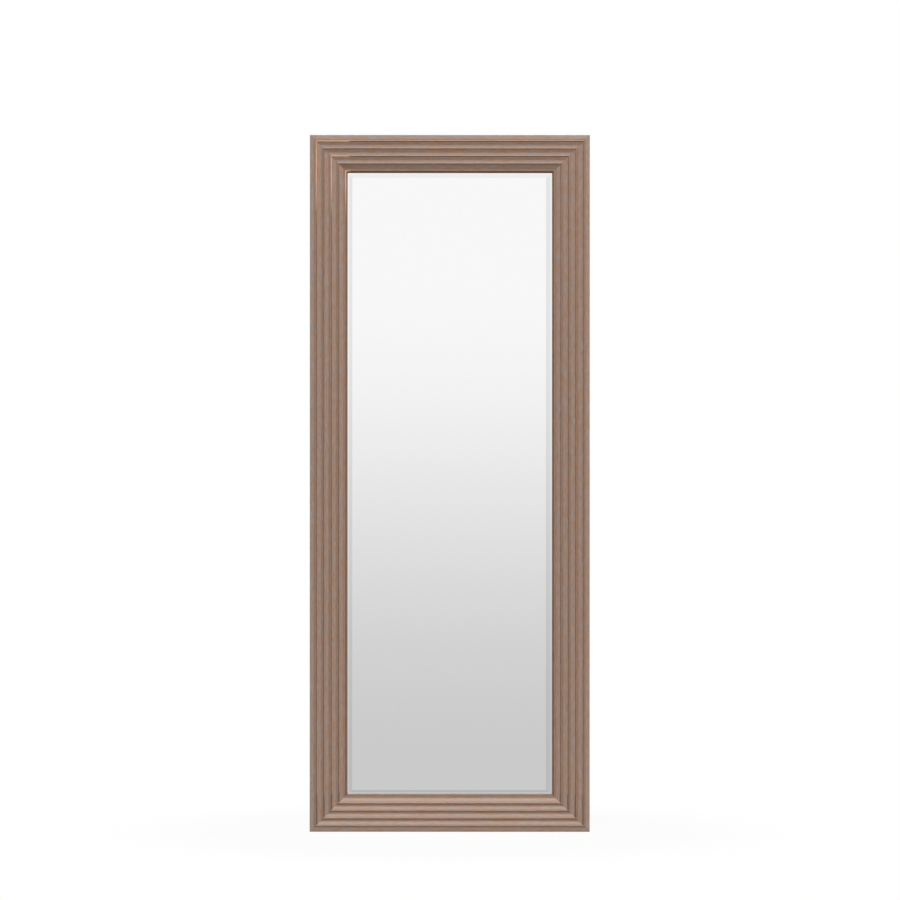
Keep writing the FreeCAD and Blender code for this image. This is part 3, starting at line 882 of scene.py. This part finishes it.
def arc_between(start: Point, end: Point, radius: float, count: int) -> list[Point]:
    """Points inside an arc between two points, bowed to the left of the walk.

    Args:
        start: Where the arc starts.
        end: Where it ends.
        radius: Its radius.
        count: How many steps it is cut into.

    Returns:
        The points between the two ends.
    """
    a, b = Vector(start), Vector(end)
    chord = b - a
    left = Vector((-chord.y, chord.x)).normalized()
    depth = math.sqrt(max(radius ** 2 - (chord.length / 2) ** 2, 0.0))
    centre = (a + b) / 2 - left * depth
    first = math.atan2(a.y - centre.y, a.x - centre.x)
    last = math.atan2(b.y - centre.y, b.x - centre.x)
    turn = (last - first + math.pi) % (2 * math.pi) - math.pi
    return [(centre.x + radius * math.cos(first + turn * i / count),
             centre.y + radius * math.sin(first + turn * i / count))
            for i in range(1, count)]


# --- the frame -----------------------------------------------------------------------

@dataclass(frozen=True)
class MouldingSection:
    """Section of the moulding: inset from the outer edge against height from the back."""

    depth: float = 0.038
    back_chamfer: float = 0.001
    arris_radius: float = 0.0015
    arris_steps: int = 5
    outer_fillet: float = 0.01145
    fillet_fall: float = 0.0009
    quirk_width: float = 0.0005
    quirk_rise: float = 0.001
    crest_width: float = 0.00165
    crest_ease: float = 0.0005
    scoop_count: int = 3
    scoop: tuple[Point, ...] = (
        (0.0005, -0.00008), (0.0011, -0.00034), (0.0042, -0.00168), (0.0074, -0.00304),
        (0.0085, -0.00341), (0.0097, -0.00356), (0.0110, -0.00349), (0.0124, -0.00324),
        (0.0142, -0.0028),
    )
    slope: tuple[Point, ...] = (
        (0.0005, -0.00008), (0.0011, -0.00036), (0.0018, -0.00085), (0.0095, -0.00470),
        (0.0108, -0.00526), (0.0120, -0.00554), (0.0131, -0.0056),
    )
    lip_radius: float = 0.0045
    lip_steps: int = 9
    sight_wall: float = 0.0049
    rebate_width: float = 0.0055
    eased: float = 0.00022

    def outline(self) -> list[Point]:
        """Walk the section once round, from the back's outer chamfer over the face.

        Returns:
            Its points, each an inset and a height.
        """
        walk: list[Point] = [(0.0, self.back_chamfer)]

        def go(*moves: Point) -> None:
            """Step on by straight lines."""
            for inset, height in moves:
                walk.append((walk[-1][0] + inset, walk[-1][1] + height))

        def bow(inset: float, height: float, radius: float, count: int) -> None:
            """Step on by an arc."""
            end = (walk[-1][0] + inset, walk[-1][1] + height)
            walk.extend(arc_between(walk[-1], end, radius, count) + [end])

        def follow(points: Sequence[Point]) -> None:
            """Step on through points given from here."""
            start = walk[-1]
            walk.extend((start[0] + inset, start[1] + height) for inset, height in points)

        ease, run = self.eased, self.crest_ease
        # Out of the quirk on to a crest with an eased arris.
        crest = ((self.quirk_width, self.quirk_rise - ease), (run, ease * 0.75),
                 (run, ease * 0.25), (self.crest_width - 2 * run, 0.0))
        rise = (self.depth - self.quirk_rise - self.fillet_fall - self.arris_radius
                - self.back_chamfer)
        go((0.0, rise / 2), (0.0, rise / 2))
        bow(self.arris_radius, self.arris_radius, self.arris_radius, self.arris_steps)
        go((self.outer_fillet - self.arris_radius, self.fillet_fall), *crest)
        for _ in range(self.scoop_count):
            follow(self.scoop)
            go(*crest)
        follow(self.slope)
        go((self.quirk_width + self.crest_width, 0.0))
        bow(self.lip_radius, -self.lip_radius, self.lip_radius, self.lip_steps)
        go((0.0, ease - self.sight_wall), (-ease, -ease), (ease - self.rebate_width, 0.0))
        go((0.0, -walk[-1][1]))
        reach = walk[-1][0] - self.back_chamfer
        go((-reach / 2, 0.0), (-reach / 2, 0.0))
        return walk


@dataclass(frozen=True)
class MouldedFrame:
    """Four mitred lengths of the moulding, and the nails across their mitres."""

    width: float = 0.614
    height: float = 1.5284
    spacing: float = 0.004
    waver: float = 0.00012
    wave_scale: float = 14.0
    calm_by_mitre: float = 0.02
    wavering_heights: Span = (0.020, 0.026)
    sharp_from: float = 34.0
    section: MouldingSection = MouldingSection()

    def build_tree(self) -> bpy.types.NodeTree:
        """Build the tree that runs a section along a rail and mitres its ends.

        Returns:
            The Geometry Nodes tree.
        """
        wires, entry, out = open_group("mitred_moulding", "GeometryNodeTree", [
            ("Section", GEOMETRY, None), ("Length", FLOAT, 1.0), ("Spacing", FLOAT, 0.004),
            ("Waver", FLOAT, 0.0001), ("Pattern Shift", FLOAT, 0.0), ("Seed", FLOAT, 1.0),
            ("Back Plane", FLOAT, BACK_PLANE), ("Turn", FLOAT, 0.0), ("Place", VECTOR, None),
            ("Finish", MATERIAL, None),
        ], [("Moulding", GEOMETRY)])
        x, y, _ = wires.split(wires.out("GeometryNodeInputPosition"))
        profile = wires.mark(entry["Section"], inset=x, height=y)
        profile = wires.out("GeometryNodeMeshToCurve", {0: profile})

        half = entry["Length"] * 0.5
        line = wires.out("GeometryNodeCurvePrimitiveLine", {
            "Start": wires.join(half * -1.0, 0.0, 0.0), "End": wires.join(half, 0.0, 0.0)})
        count = wires.math("ROUND", entry["Length"] / entry["Spacing"])
        line = wires.out("GeometryNodeResampleCurve", {"Curve": line, "Count": count})
        swept = wires.out("GeometryNodeCurveToMesh", {
            "Curve": line, "Profile Curve": profile, "Fill Caps": True})

        inset, height = wires.stored("inset"), wires.stored("height")
        along = x * (1.0 - inset / half)
        mitre = half - inset - wires.math("ABSOLUTE", along)
        wave = wires.noise(wires.join(along, inset, entry["Seed"]), self.wave_scale, 2.0)
        calm = wires.step(mitre, 0.0, self.calm_by_mitre)
        front = wires.step(height, *self.wavering_heights)
        sink = wave * calm * (front * entry["Waver"])
        depth = entry["Back Plane"] - (height - sink)
        # The place along the rail is stored before the position moves.
        grain = wires.join(along + entry["Pattern Shift"], inset, height)
        swept = wires.store(swept, "grain", grain, "FLOAT_VECTOR")
        swept = wires.mark(swept, mitre=mitre)
        shaped = wires.out("GeometryNodeSetPosition", {
            "Geometry": swept, "Position": wires.join(along, depth, inset)})
        turned = wires.out("GeometryNodeTransform", {
            "Geometry": wires.smooth(shaped, self.sharp_from), "Translation": entry["Place"],
            "Rotation": wires.join(0.0, entry["Turn"], 0.0)})
        wires.fill(out, Moulding=wires.finished(turned, entry["Finish"]))
        return wires.tree

    def build(self, finishes: Finishes) -> None:
        """Build the four rails and dress the nails.

        Args:
            finishes: The materials.
        """
        tree = self.build_tree()
        places = {
            Rail.BOTTOM: (0.0, 0.0, 0.0),
            Rail.TOP: (0.0, 0.0, self.height),
            Rail.LEFT: (-self.width / 2, 0.0, self.height / 2),
            Rail.RIGHT: (self.width / 2, 0.0, self.height / 2),
        }
        for number, rail in enumerate(Rail):
            source = polyline(f"{rail.node}_moulding", self.section.outline(), closed=True)
            piece = shape_with(source, tree, {
                "Length": self.height if rail.upright else self.width,
                "Spacing": self.spacing, "Waver": self.waver, "Pattern Shift": rail.shift,
                "Seed": float(number), "Back Plane": BACK_PLANE, "Turn": rail.turn,
                "Place": places[rail], "Finish": finishes.copper_wash,
            })
            hand_over(piece, "mirror", rail.node)
        for corner in CORNERS:
            dress_node(f"v_nails_{corner}", finishes.nail_steel)


# --- the pane and what holds it ----------------------------------------------------------

@dataclass(frozen=True)
class BevelledPane:
    """The silvered pane with its ground bevel, the board behind it and their points."""

    bevel_width: float = 0.0159
    end_bevel_width: float = 0.0131
    bevel_depth: float = 0.0009
    strip_width: float = 0.0028
    strip_fall: float = 0.00003
    overlap_left_bottom: float = 0.0055
    overlap_right_top: float = 0.0025
    seam: float = 0.0004

    def build_pane(self, finishes: Finishes) -> bpy.types.Object:
        """Build the pane as one closed shell of nested rectangles.

        Args:
            finishes: The materials.

        Returns:
            The pane.
        """
        low, high, _ = node_box("mirror_glass")
        strip = low.y + self.bevel_depth
        near = self.overlap_left_bottom + self.strip_width
        far = self.overlap_right_top + self.strip_width
        width, ends, seam = self.bevel_width, self.end_bevel_width, self.seam
        # Margins left, right, bottom and top; depth; reach of the bevel.
        rings = [
            (width, width, ends, ends, low.y, 0.0),
            (near, far, near, far, strip, 1.0),
            (seam, seam, seam, seam, strip + self.strip_fall, 2.0),
            (0.0, 0.0, 0.0, 0.0, strip + seam, 2.0),
            (0.0, 0.0, 0.0, 0.0, high.y - seam, 2.0),
            (seam, seam, seam, seam, high.y, 2.0),
        ]
        shell = bmesh.new()
        reach = shell.verts.layers.float.new("bevel_reach")
        loops = []
        for left, right, bottom, top, depth, share in rings:
            x0, z0 = low.x + left, low.z + bottom
            x1, z1 = high.x - right, high.z - top
            loop = [shell.verts.new((x, depth, z))
                    for x, z in ((x0, z0), (x1, z0), (x1, z1), (x0, z1))]
            for vert in loop:
                vert[reach] = share
            loops.append(loop)
        shell.faces.new(loops[0])
        for number, (inner, outer) in enumerate(zip(loops, loops[1:])):
            for i in range(4):
                j = (i + 1) % 4
                face = shell.faces.new((inner[i], outer[i], outer[j], inner[j]))
                face.material_index = 0 if number < 2 else 1
        shell.faces.new(reversed(loops[-1])).material_index = 2
        bmesh.ops.recalc_face_normals(shell, faces=shell.faces[:])
        mesh = bpy.data.meshes.new("bevelled_pane")
        shell.to_mesh(mesh)
        shell.free()
        for finish in (finishes.silver, finishes.glass_edge, finishes.backing_paint):
            mesh.materials.append(finish)
        return add_object("bevelled_pane", mesh)

    def build(self, finishes: Finishes) -> None:
        """Build the pane, and dress the board and the glazing points."""
        hand_over(self.build_pane(finishes), "mirror", "mirror_glass")
        dress_node("backing_board", finishes.hardboard)
        for side in ("top", "bottom", "left", "right"):
            dress_node(f"glazing_points_{side}", finishes.spring_steel)


# --- turned pieces -------------------------------------------------------------------------

@dataclass(frozen=True)
class Lathe:
    """Turns half sections about their axes and sets out copies."""

    with_recess: bool
    recess_length: float = 0.0042
    recess_width: float = 0.0009
    recess_depth: float = 0.0013
    # Heights of the two slots' cutters, in depths of the recess. They differ, so
    # that the two cuts share no face.
    cutter_heights: Span = (2.0, 1.86)
    head_height: float = 0.0024
    sharp_from: float = 35.0
    merge_within: float = 1e-6

    def build_tree(self) -> bpy.types.NodeTree:
        """Build the tree, with a cross cut into each head where there is a recess.

        Returns:
            The Geometry Nodes tree.
        """
        wires, entry, out = open_group("turned_pieces", "GeometryNodeTree", [
            ("Half Section", GEOMETRY, None), ("Steps", "NodeSocketInt", 32),
            ("Count", "NodeSocketInt", 1), ("First Place", VECTOR, None),
            ("Spacing", VECTOR, None), ("Recess Length", FLOAT, self.recess_length),
            ("Recess Width", FLOAT, self.recess_width),
            ("Recess Depth", FLOAT, self.recess_depth),
            ("Head Height", FLOAT, self.head_height), ("Finish", MATERIAL, None),
        ], [("Pieces", GEOMETRY)])
        x, y, _ = wires.split(wires.out("GeometryNodeInputPosition"))
        section = wires.mark(entry["Half Section"], spin_radius=x, rise=y)
        section = wires.out("GeometryNodeMeshToCurve", {0: section})
        circle = wires.out("GeometryNodeCurvePrimitiveCircle", {
            "Resolution": entry["Steps"], "Radius": 1.0})
        circle = wires.mark(circle, turn_x=x, turn_z=y)
        shell = wires.out("GeometryNodeCurveToMesh", {
            "Curve": circle, "Profile Curve": section})
        radius = wires.stored("spin_radius")
        shell = wires.out("GeometryNodeSetPosition", {"Geometry": shell, "Position": wires.join(
            wires.stored("turn_x") * radius, wires.stored("rise"),
            wires.stored("turn_z") * radius)})
        shell = wires.out("GeometryNodeMergeByDistance", {
            "Geometry": shell, "Distance": self.merge_within})
        shell = wires.out("GeometryNodeFlipFaces", {"Mesh": shell})
        if self.with_recess:
            length, width, deep = (entry[f"Recess {word}"]
                                   for word in ("Length", "Width", "Depth"))
            tall, less = (deep * share for share in self.cutter_heights)
            for size in (wires.join(length, tall, width), wires.join(width, less, length)):
                cutter = wires.out("GeometryNodeTransform", {
                    "Geometry": wires.out("GeometryNodeMeshCube", {"Size": size}),
                    "Translation": wires.join(0.0, entry["Head Height"], 0.0)})
                shell = wires.out("GeometryNodeMeshBoolean", {0: shell, 1: cutter},
                                  operation="DIFFERENCE")
        row = wires.out("GeometryNodeMeshLine", {
            "Count": entry["Count"], "Start Location": entry["First Place"],
            "Offset": entry["Spacing"]})
        placed = wires.out("GeometryNodeInstanceOnPoints", {"Points": row, "Instance": shell})
        real = wires.out("GeometryNodeRealizeInstances", {"Geometry": placed})
        smooth = wires.smooth(real, self.sharp_from)
        wires.fill(out, Pieces=wires.finished(smooth, entry["Finish"]))
        return wires.tree


# --- hangers and bumpers ----------------------------------------------------------------------

@dataclass(frozen=True)
class DRingHanger:
    """Strap screwed to the stile, with a ring that swings in its knuckle."""

    side: Side
    strap_width: float = 0.015
    ring_width: float = 0.0032
    ring_thickness: float = 0.0025
    ring_ease: float = 0.00045
    ring_side_gap: float = 0.0006
    corner_radius: float = 0.0035
    corner_steps: int = 8
    bow_steps: int = 28
    leg: float = 0.0045
    shank: float = 0.004
    screw_length: float = 0.019
    screw_steps: int = 40
    tip: float = 0.005
    head: float = 0.0078
    head_height: float = 0.0024
    screw_spacing: float = 0.014
    # Share of the head's radius against height, from its seat to its crown.
    dome: tuple[Point, ...] = (
        (0.96, 0.0), (1.0, 0.00018), (1.0, 0.0008), (0.965, 0.0013), (0.88, 0.00172),
        (0.74, 0.00204), (0.54, 0.00225), (0.3, 0.00236), (0.0, 0.0024),
    )

    def ring_path(self) -> list[Point]:
        """Middle line of the ring, across and down from the knuckle's axis."""
        r = self.corner_radius
        reach = self.strap_width / 2 + self.ring_side_gap + r
        low = -r - self.leg
        path: list[Point] = [(-(reach - r), 0.0), (0.0, 0.0), (reach - r, 0.0)]
        path += arc_between(path[-1], (reach, -r), r, self.corner_steps)
        path += [(reach, -r), (reach, low)]
        path += [(reach * math.cos(a), low - reach * math.sin(a))
                 for a in (math.pi * i / self.bow_steps for i in range(1, self.bow_steps))]
        path += [(-reach, low), (-reach, -r)]
        return path + arc_between((-reach, -r), (-(reach - r), 0.0), r, self.corner_steps)

    def build_ring(self, tree: bpy.types.NodeTree, finishes: Finishes) -> None:
        """Build the ring on its own body."""
        word = self.side.value
        _, high, middle = node_box(f"hanger_ring_{word}")
        source = polyline(f"swinging_ring_{word}", self.ring_path(), closed=True)
        piece = shape_with(source, tree, {
            "Half Width": self.ring_width / 2, "Half Thickness": self.ring_thickness / 2,
            "Ease": self.ring_ease,
            "Place": (middle.x, middle.y, high.z - self.ring_width / 2),
            "Finish": finishes.zinc,
        })
        hand_over(piece, f"ring_{word}", f"hanger_ring_{word}")

    def screw_half_section(self) -> list[Point]:
        """Half section of a pan head wood screw, from its point to the top of its head."""
        shank, head, length = self.shank / 2, self.head / 2, self.screw_length
        stem = [(0.0, -length), (shank * 0.5, -length + self.tip * 0.5),
                (shank, -length + self.tip), (shank, 0.0)]
        return stem + [(head * share, rise) for share, rise in self.dome]

    def build_screws(self, tree: bpy.types.NodeTree, finishes: Finishes) -> None:
        """Build the two screws of the strap."""
        word = self.side.value
        low, high, middle = node_box(f"hanger_screws_{word}")
        source = polyline(f"pan_screws_{word}", self.screw_half_section(), closed=False)
        piece = shape_with(source, tree, {
            "Steps": self.screw_steps, "Count": 2,
            "First Place": (middle.x, high.y - self.head_height, low.z + self.head / 2),
            "Spacing": (0.0, 0.0, self.screw_spacing), "Head Height": self.head_height,
            "Finish": finishes.zinc,
        })
        hand_over(piece, "mirror", f"hanger_screws_{word}")


def build_ring_tree() -> bpy.types.NodeTree:
    """Build the tree that runs an eased plate section round a flat closed path.

    Returns:
        The Geometry Nodes tree.
    """
    wires, entry, out = open_group("stamped_ring", "GeometryNodeTree", [
        ("Path", GEOMETRY, None), ("Half Width", FLOAT, 0.0016),
        ("Half Thickness", FLOAT, 0.00125), ("Ease", FLOAT, 0.00045), ("Place", VECTOR, None),
        ("Finish", MATERIAL, None),
    ], [("Ring", GEOMETRY)])
    x, y, _ = wires.split(wires.out("GeometryNodeInputPosition"))
    path = wires.out("GeometryNodeMeshToCurve", {0: entry["Path"]})
    path = wires.store(path, "middle", wires.join(x, 0.0, y), "FLOAT_VECTOR")
    path = wires.store(path, "heading", wires.out("GeometryNodeInputTangent"), "FLOAT_VECTOR")

    section = wires.out("GeometryNodeCurvePrimitiveQuadrilateral", {
        "Width": entry["Half Width"] * 2.0, "Height": entry["Half Thickness"] * 2.0})
    section = wires.out("GeometryNodeFilletCurve", {
        "Curve": section, "Count": 3, "Radius": entry["Ease"]}, mode="POLY")
    section = wires.mark(section, wide=x, thick=y)
    ring = wires.out("GeometryNodeCurveToMesh", {"Curve": path, "Profile Curve": section})

    hx, hy, _ = wires.split(wires.stored("heading", "FLOAT_VECTOR"))
    spread = wires.scaled(wires.join(hy, 0.0, hx * -1.0), wires.stored("wide"))
    lift = wires.join(0.0, wires.stored("thick"), 0.0)
    place = wires.vector("ADD", wires.vector("ADD", wires.stored("middle", "FLOAT_VECTOR"),
                                             spread),
                         wires.vector("ADD", lift, entry["Place"]))
    ring = wires.out("GeometryNodeSetPosition", {"Geometry": ring, "Position": place})
    ring = wires.out("GeometryNodeSetShadeSmooth", {"Geometry": ring})
    wires.fill(out, Ring=wires.finished(ring, entry["Finish"]))
    return wires.tree


@dataclass(frozen=True)
class WallBumper:
    """Moulded rubber bumper with a rounded shoulder and a shallow dished top."""

    radius: float = 0.0095
    shoulder: float = 0.0015
    steps: int = 48
    # In from the side and down from the top, in shares of the shoulder.
    shoulder_curve: tuple[Point, ...] = (
        (0.0, 1.15), (0.08, 0.72), (0.32, 0.34), (0.72, 0.08), (1.2, 0.0),
    )
    # Share of the radius against depth below the top.
    dish: tuple[Point, ...] = (
        (0.62, 0.0), (0.56, 0.0001), (0.50, 0.0004), (0.42, 0.0005), (0.0, 0.0005),
    )

    def half_section(self, height: float) -> list[Point]:
        """Half section from the wood up to the middle of the dish."""
        r, s = self.radius, self.shoulder
        return ([(0.0, 0.0), (r * 0.985, 0.0), (r, 0.0003)]
                + [(r - s * inward, height - s * down) for inward, down in self.shoulder_curve]
                + [(r * share, height - down) for share, down in self.dish])

    def build(self, finishes: Finishes, tree: bpy.types.NodeTree) -> None:
        """Build the four bumpers."""
        for corner in CORNERS:
            low, high, middle = node_box(f"wall_bumper_{corner}")
            source = polyline(f"rubber_bumper_{corner}", self.half_section(high.y - low.y),
                              closed=False)
            piece = shape_with(source, tree, {
                "Steps": self.steps, "Count": 1, "First Place": (middle.x, low.y, middle.z),
                "Finish": finishes.rubber,
            })
            hand_over(piece, "mirror", f"wall_bumper_{corner}")


# --- the studio -------------------------------------------------------------------------------

@dataclass(frozen=True)
class Lamp:
    """Soft square lamp that looks at a point."""

    name: str
    place: Triple
    size: float
    watts: float
    target: Triple = (0.0, 0.0, 0.8)

    def add(self) -> None:
        """Add the lamp to the scene."""
        data = bpy.data.lights.new(self.name, "AREA")
        data.shape = "SQUARE"
        data.size = self.size
        data.energy = self.watts
        lamp = bpy.data.objects.new(self.name, data)
        aim = Vector(self.target) - Vector(self.place)
        lamp.location = self.place
        lamp.rotation_euler = aim.to_track_quat("-Z", "Y").to_euler()
        bpy.context.scene.collection.objects.link(lamp)


@dataclass(frozen=True)
class Studio:
    """Camera, soft lamps, white surroundings and pale floor."""

    distance: float = 9.0
    eye_height: float = 0.8373
    seen_width: float = 1.9733
    sensor: float = 36.0
    far_clip: float = 60.0
    roll: float = -0.02
    aim: float = 0.0005
    lamps: tuple[Lamp, ...] = (
        Lamp("key_lamp", (-0.8, -9.3, 10.0), 4.6, 1840.0),
        Lamp("side_lamp", (2.1, -0.9, 2.25), 1.2, 14.0, (0.0, 0.0, 1.6)),
        Lamp("rear_lamp", (0.8, 3.4, 3.0), 2.4, 70.0),
        Lamp("left_fill", (-3.4, 1.3, 1.6), 1.8, 34.0),
        Lamp("right_fill", (3.4, 1.3, 1.6), 1.8, 34.0),
    )
    # Front left and back right corners of the floor.
    floor_corners: tuple[Point, Point] = ((-2.6, -0.86), (2.6, 2.6))
    # Tone that the pane shows, against the slope of the reflected line.
    low_tone: float = 202.0 / 255.0
    high_tone: float = 248.8 / 255.0
    tone_slopes: Span = (-0.081, 0.041)
    upper_fall: tuple[float, ...] = (0.08, 0.26, 0.0, 0.04)
    lower_fall: tuple[float, ...] = (-0.5, -1.2, 0.0, 0.08)
    sideways_fall: tuple[float, ...] = (0.05, 0.16, 1.0, 0.925)
    display_power: float = 2.2
    # Light from below and above on everything else.
    plain_light: tuple[float, ...] = (-0.7, 0.9, 0.03, 0.24)

    def set_camera(self) -> None:
        """Stand the camera straight in front, level, as the photograph has it."""
        data = bpy.data.cameras.new("studio_camera")
        data.sensor_width = self.sensor
        data.lens = self.sensor * self.distance / self.seen_width
        data.clip_end = self.far_clip
        camera = bpy.data.objects.new("studio_camera", data)
        camera.location = (self.aim, -self.distance - BACK_PLANE, self.eye_height)
        camera.rotation_euler = (math.pi / 2, math.radians(self.roll), 0.0)
        bpy.context.scene.collection.objects.link(camera)
        bpy.context.scene.camera = camera

    def set_world(self) -> None:
        """White to the camera, a soft gradient in the pane, plain light elsewhere."""
        world = bpy.data.worlds.new("studio_surroundings")
        bpy.context.scene.world = world
        world.use_nodes = True
        world.node_tree.nodes.clear()
        wires = Wiring(world.node_tree)
        x, y, z = wires.split(wires.out("ShaderNodeTexCoord", output="Generated"))
        level = wires.math("MAXIMUM", wires.math("SQRT", x * x + y * y), 0.001)
        climb = z / level
        tone = wires.step(climb, *self.tone_slopes, self.low_tone, self.high_tone)
        tone = tone - wires.step(climb, *self.upper_fall)
        tone = tone - wires.step(climb, *self.lower_fall)
        drift = wires.math("ABSOLUTE", x) / level
        tone = tone * wires.step(drift, *self.sideways_fall)
        seen = wires.math("POWER", tone, self.display_power)
        strength = wires.choose(wires.reflected(), wires.step(z, *self.plain_light), seen)
        camera_ray = wires.out("ShaderNodeLightPath", output="Is Camera Ray")
        back = wires.out("ShaderNodeBackground", {
            "Color": WHITE, "Strength": wires.choose(camera_ray, strength, 1.0)})
        wires.node("ShaderNodeOutputWorld", {"Surface": back})

    def set_floor(self) -> None:
        """Lay the pale floor under and behind the mirror."""
        (x0, y0), (x1, y1) = self.floor_corners
        shell = bmesh.new()
        shell.faces.new([shell.verts.new((x, y, 0.0))
                         for x, y in ((x0, y0), (x1, y0), (x1, y1), (x0, y1))])
        mesh = bpy.data.meshes.new("studio_floor")
        shell.to_mesh(mesh)
        shell.free()
        mesh.materials.append(StudioFloorFinish().build())
        add_object("studio_floor", mesh)

    def build(self) -> None:
        """Set up everything around the mirror."""
        bpy.context.scene.view_settings.view_transform = "Standard"
        self.set_camera()
        self.set_world()
        self.set_floor()
        for lamp in self.lamps:
            lamp.add()


def main() -> None:
    """Build the mirror piece by piece, then its surroundings."""
    logging.basicConfig(level=logging.INFO, format="%(name)s: %(message)s")
    finishes = Finishes()
    MouldedFrame().build(finishes)
    BevelledPane().build(finishes)
    ring_tree = build_ring_tree()
    screw_tree = Lathe(with_recess=True).build_tree()
    for side in Side:
        hanger = DRingHanger(side)
        hanger.build_ring(ring_tree, finishes)
        hanger.build_screws(screw_tree, finishes)
        dress_node(f"hanger_strap_{side.value}", finishes.zinc)
    WallBumper().build(finishes, Lathe(with_recess=False).build_tree())
    Studio().build()


if __name__ == "__main__":
    main()
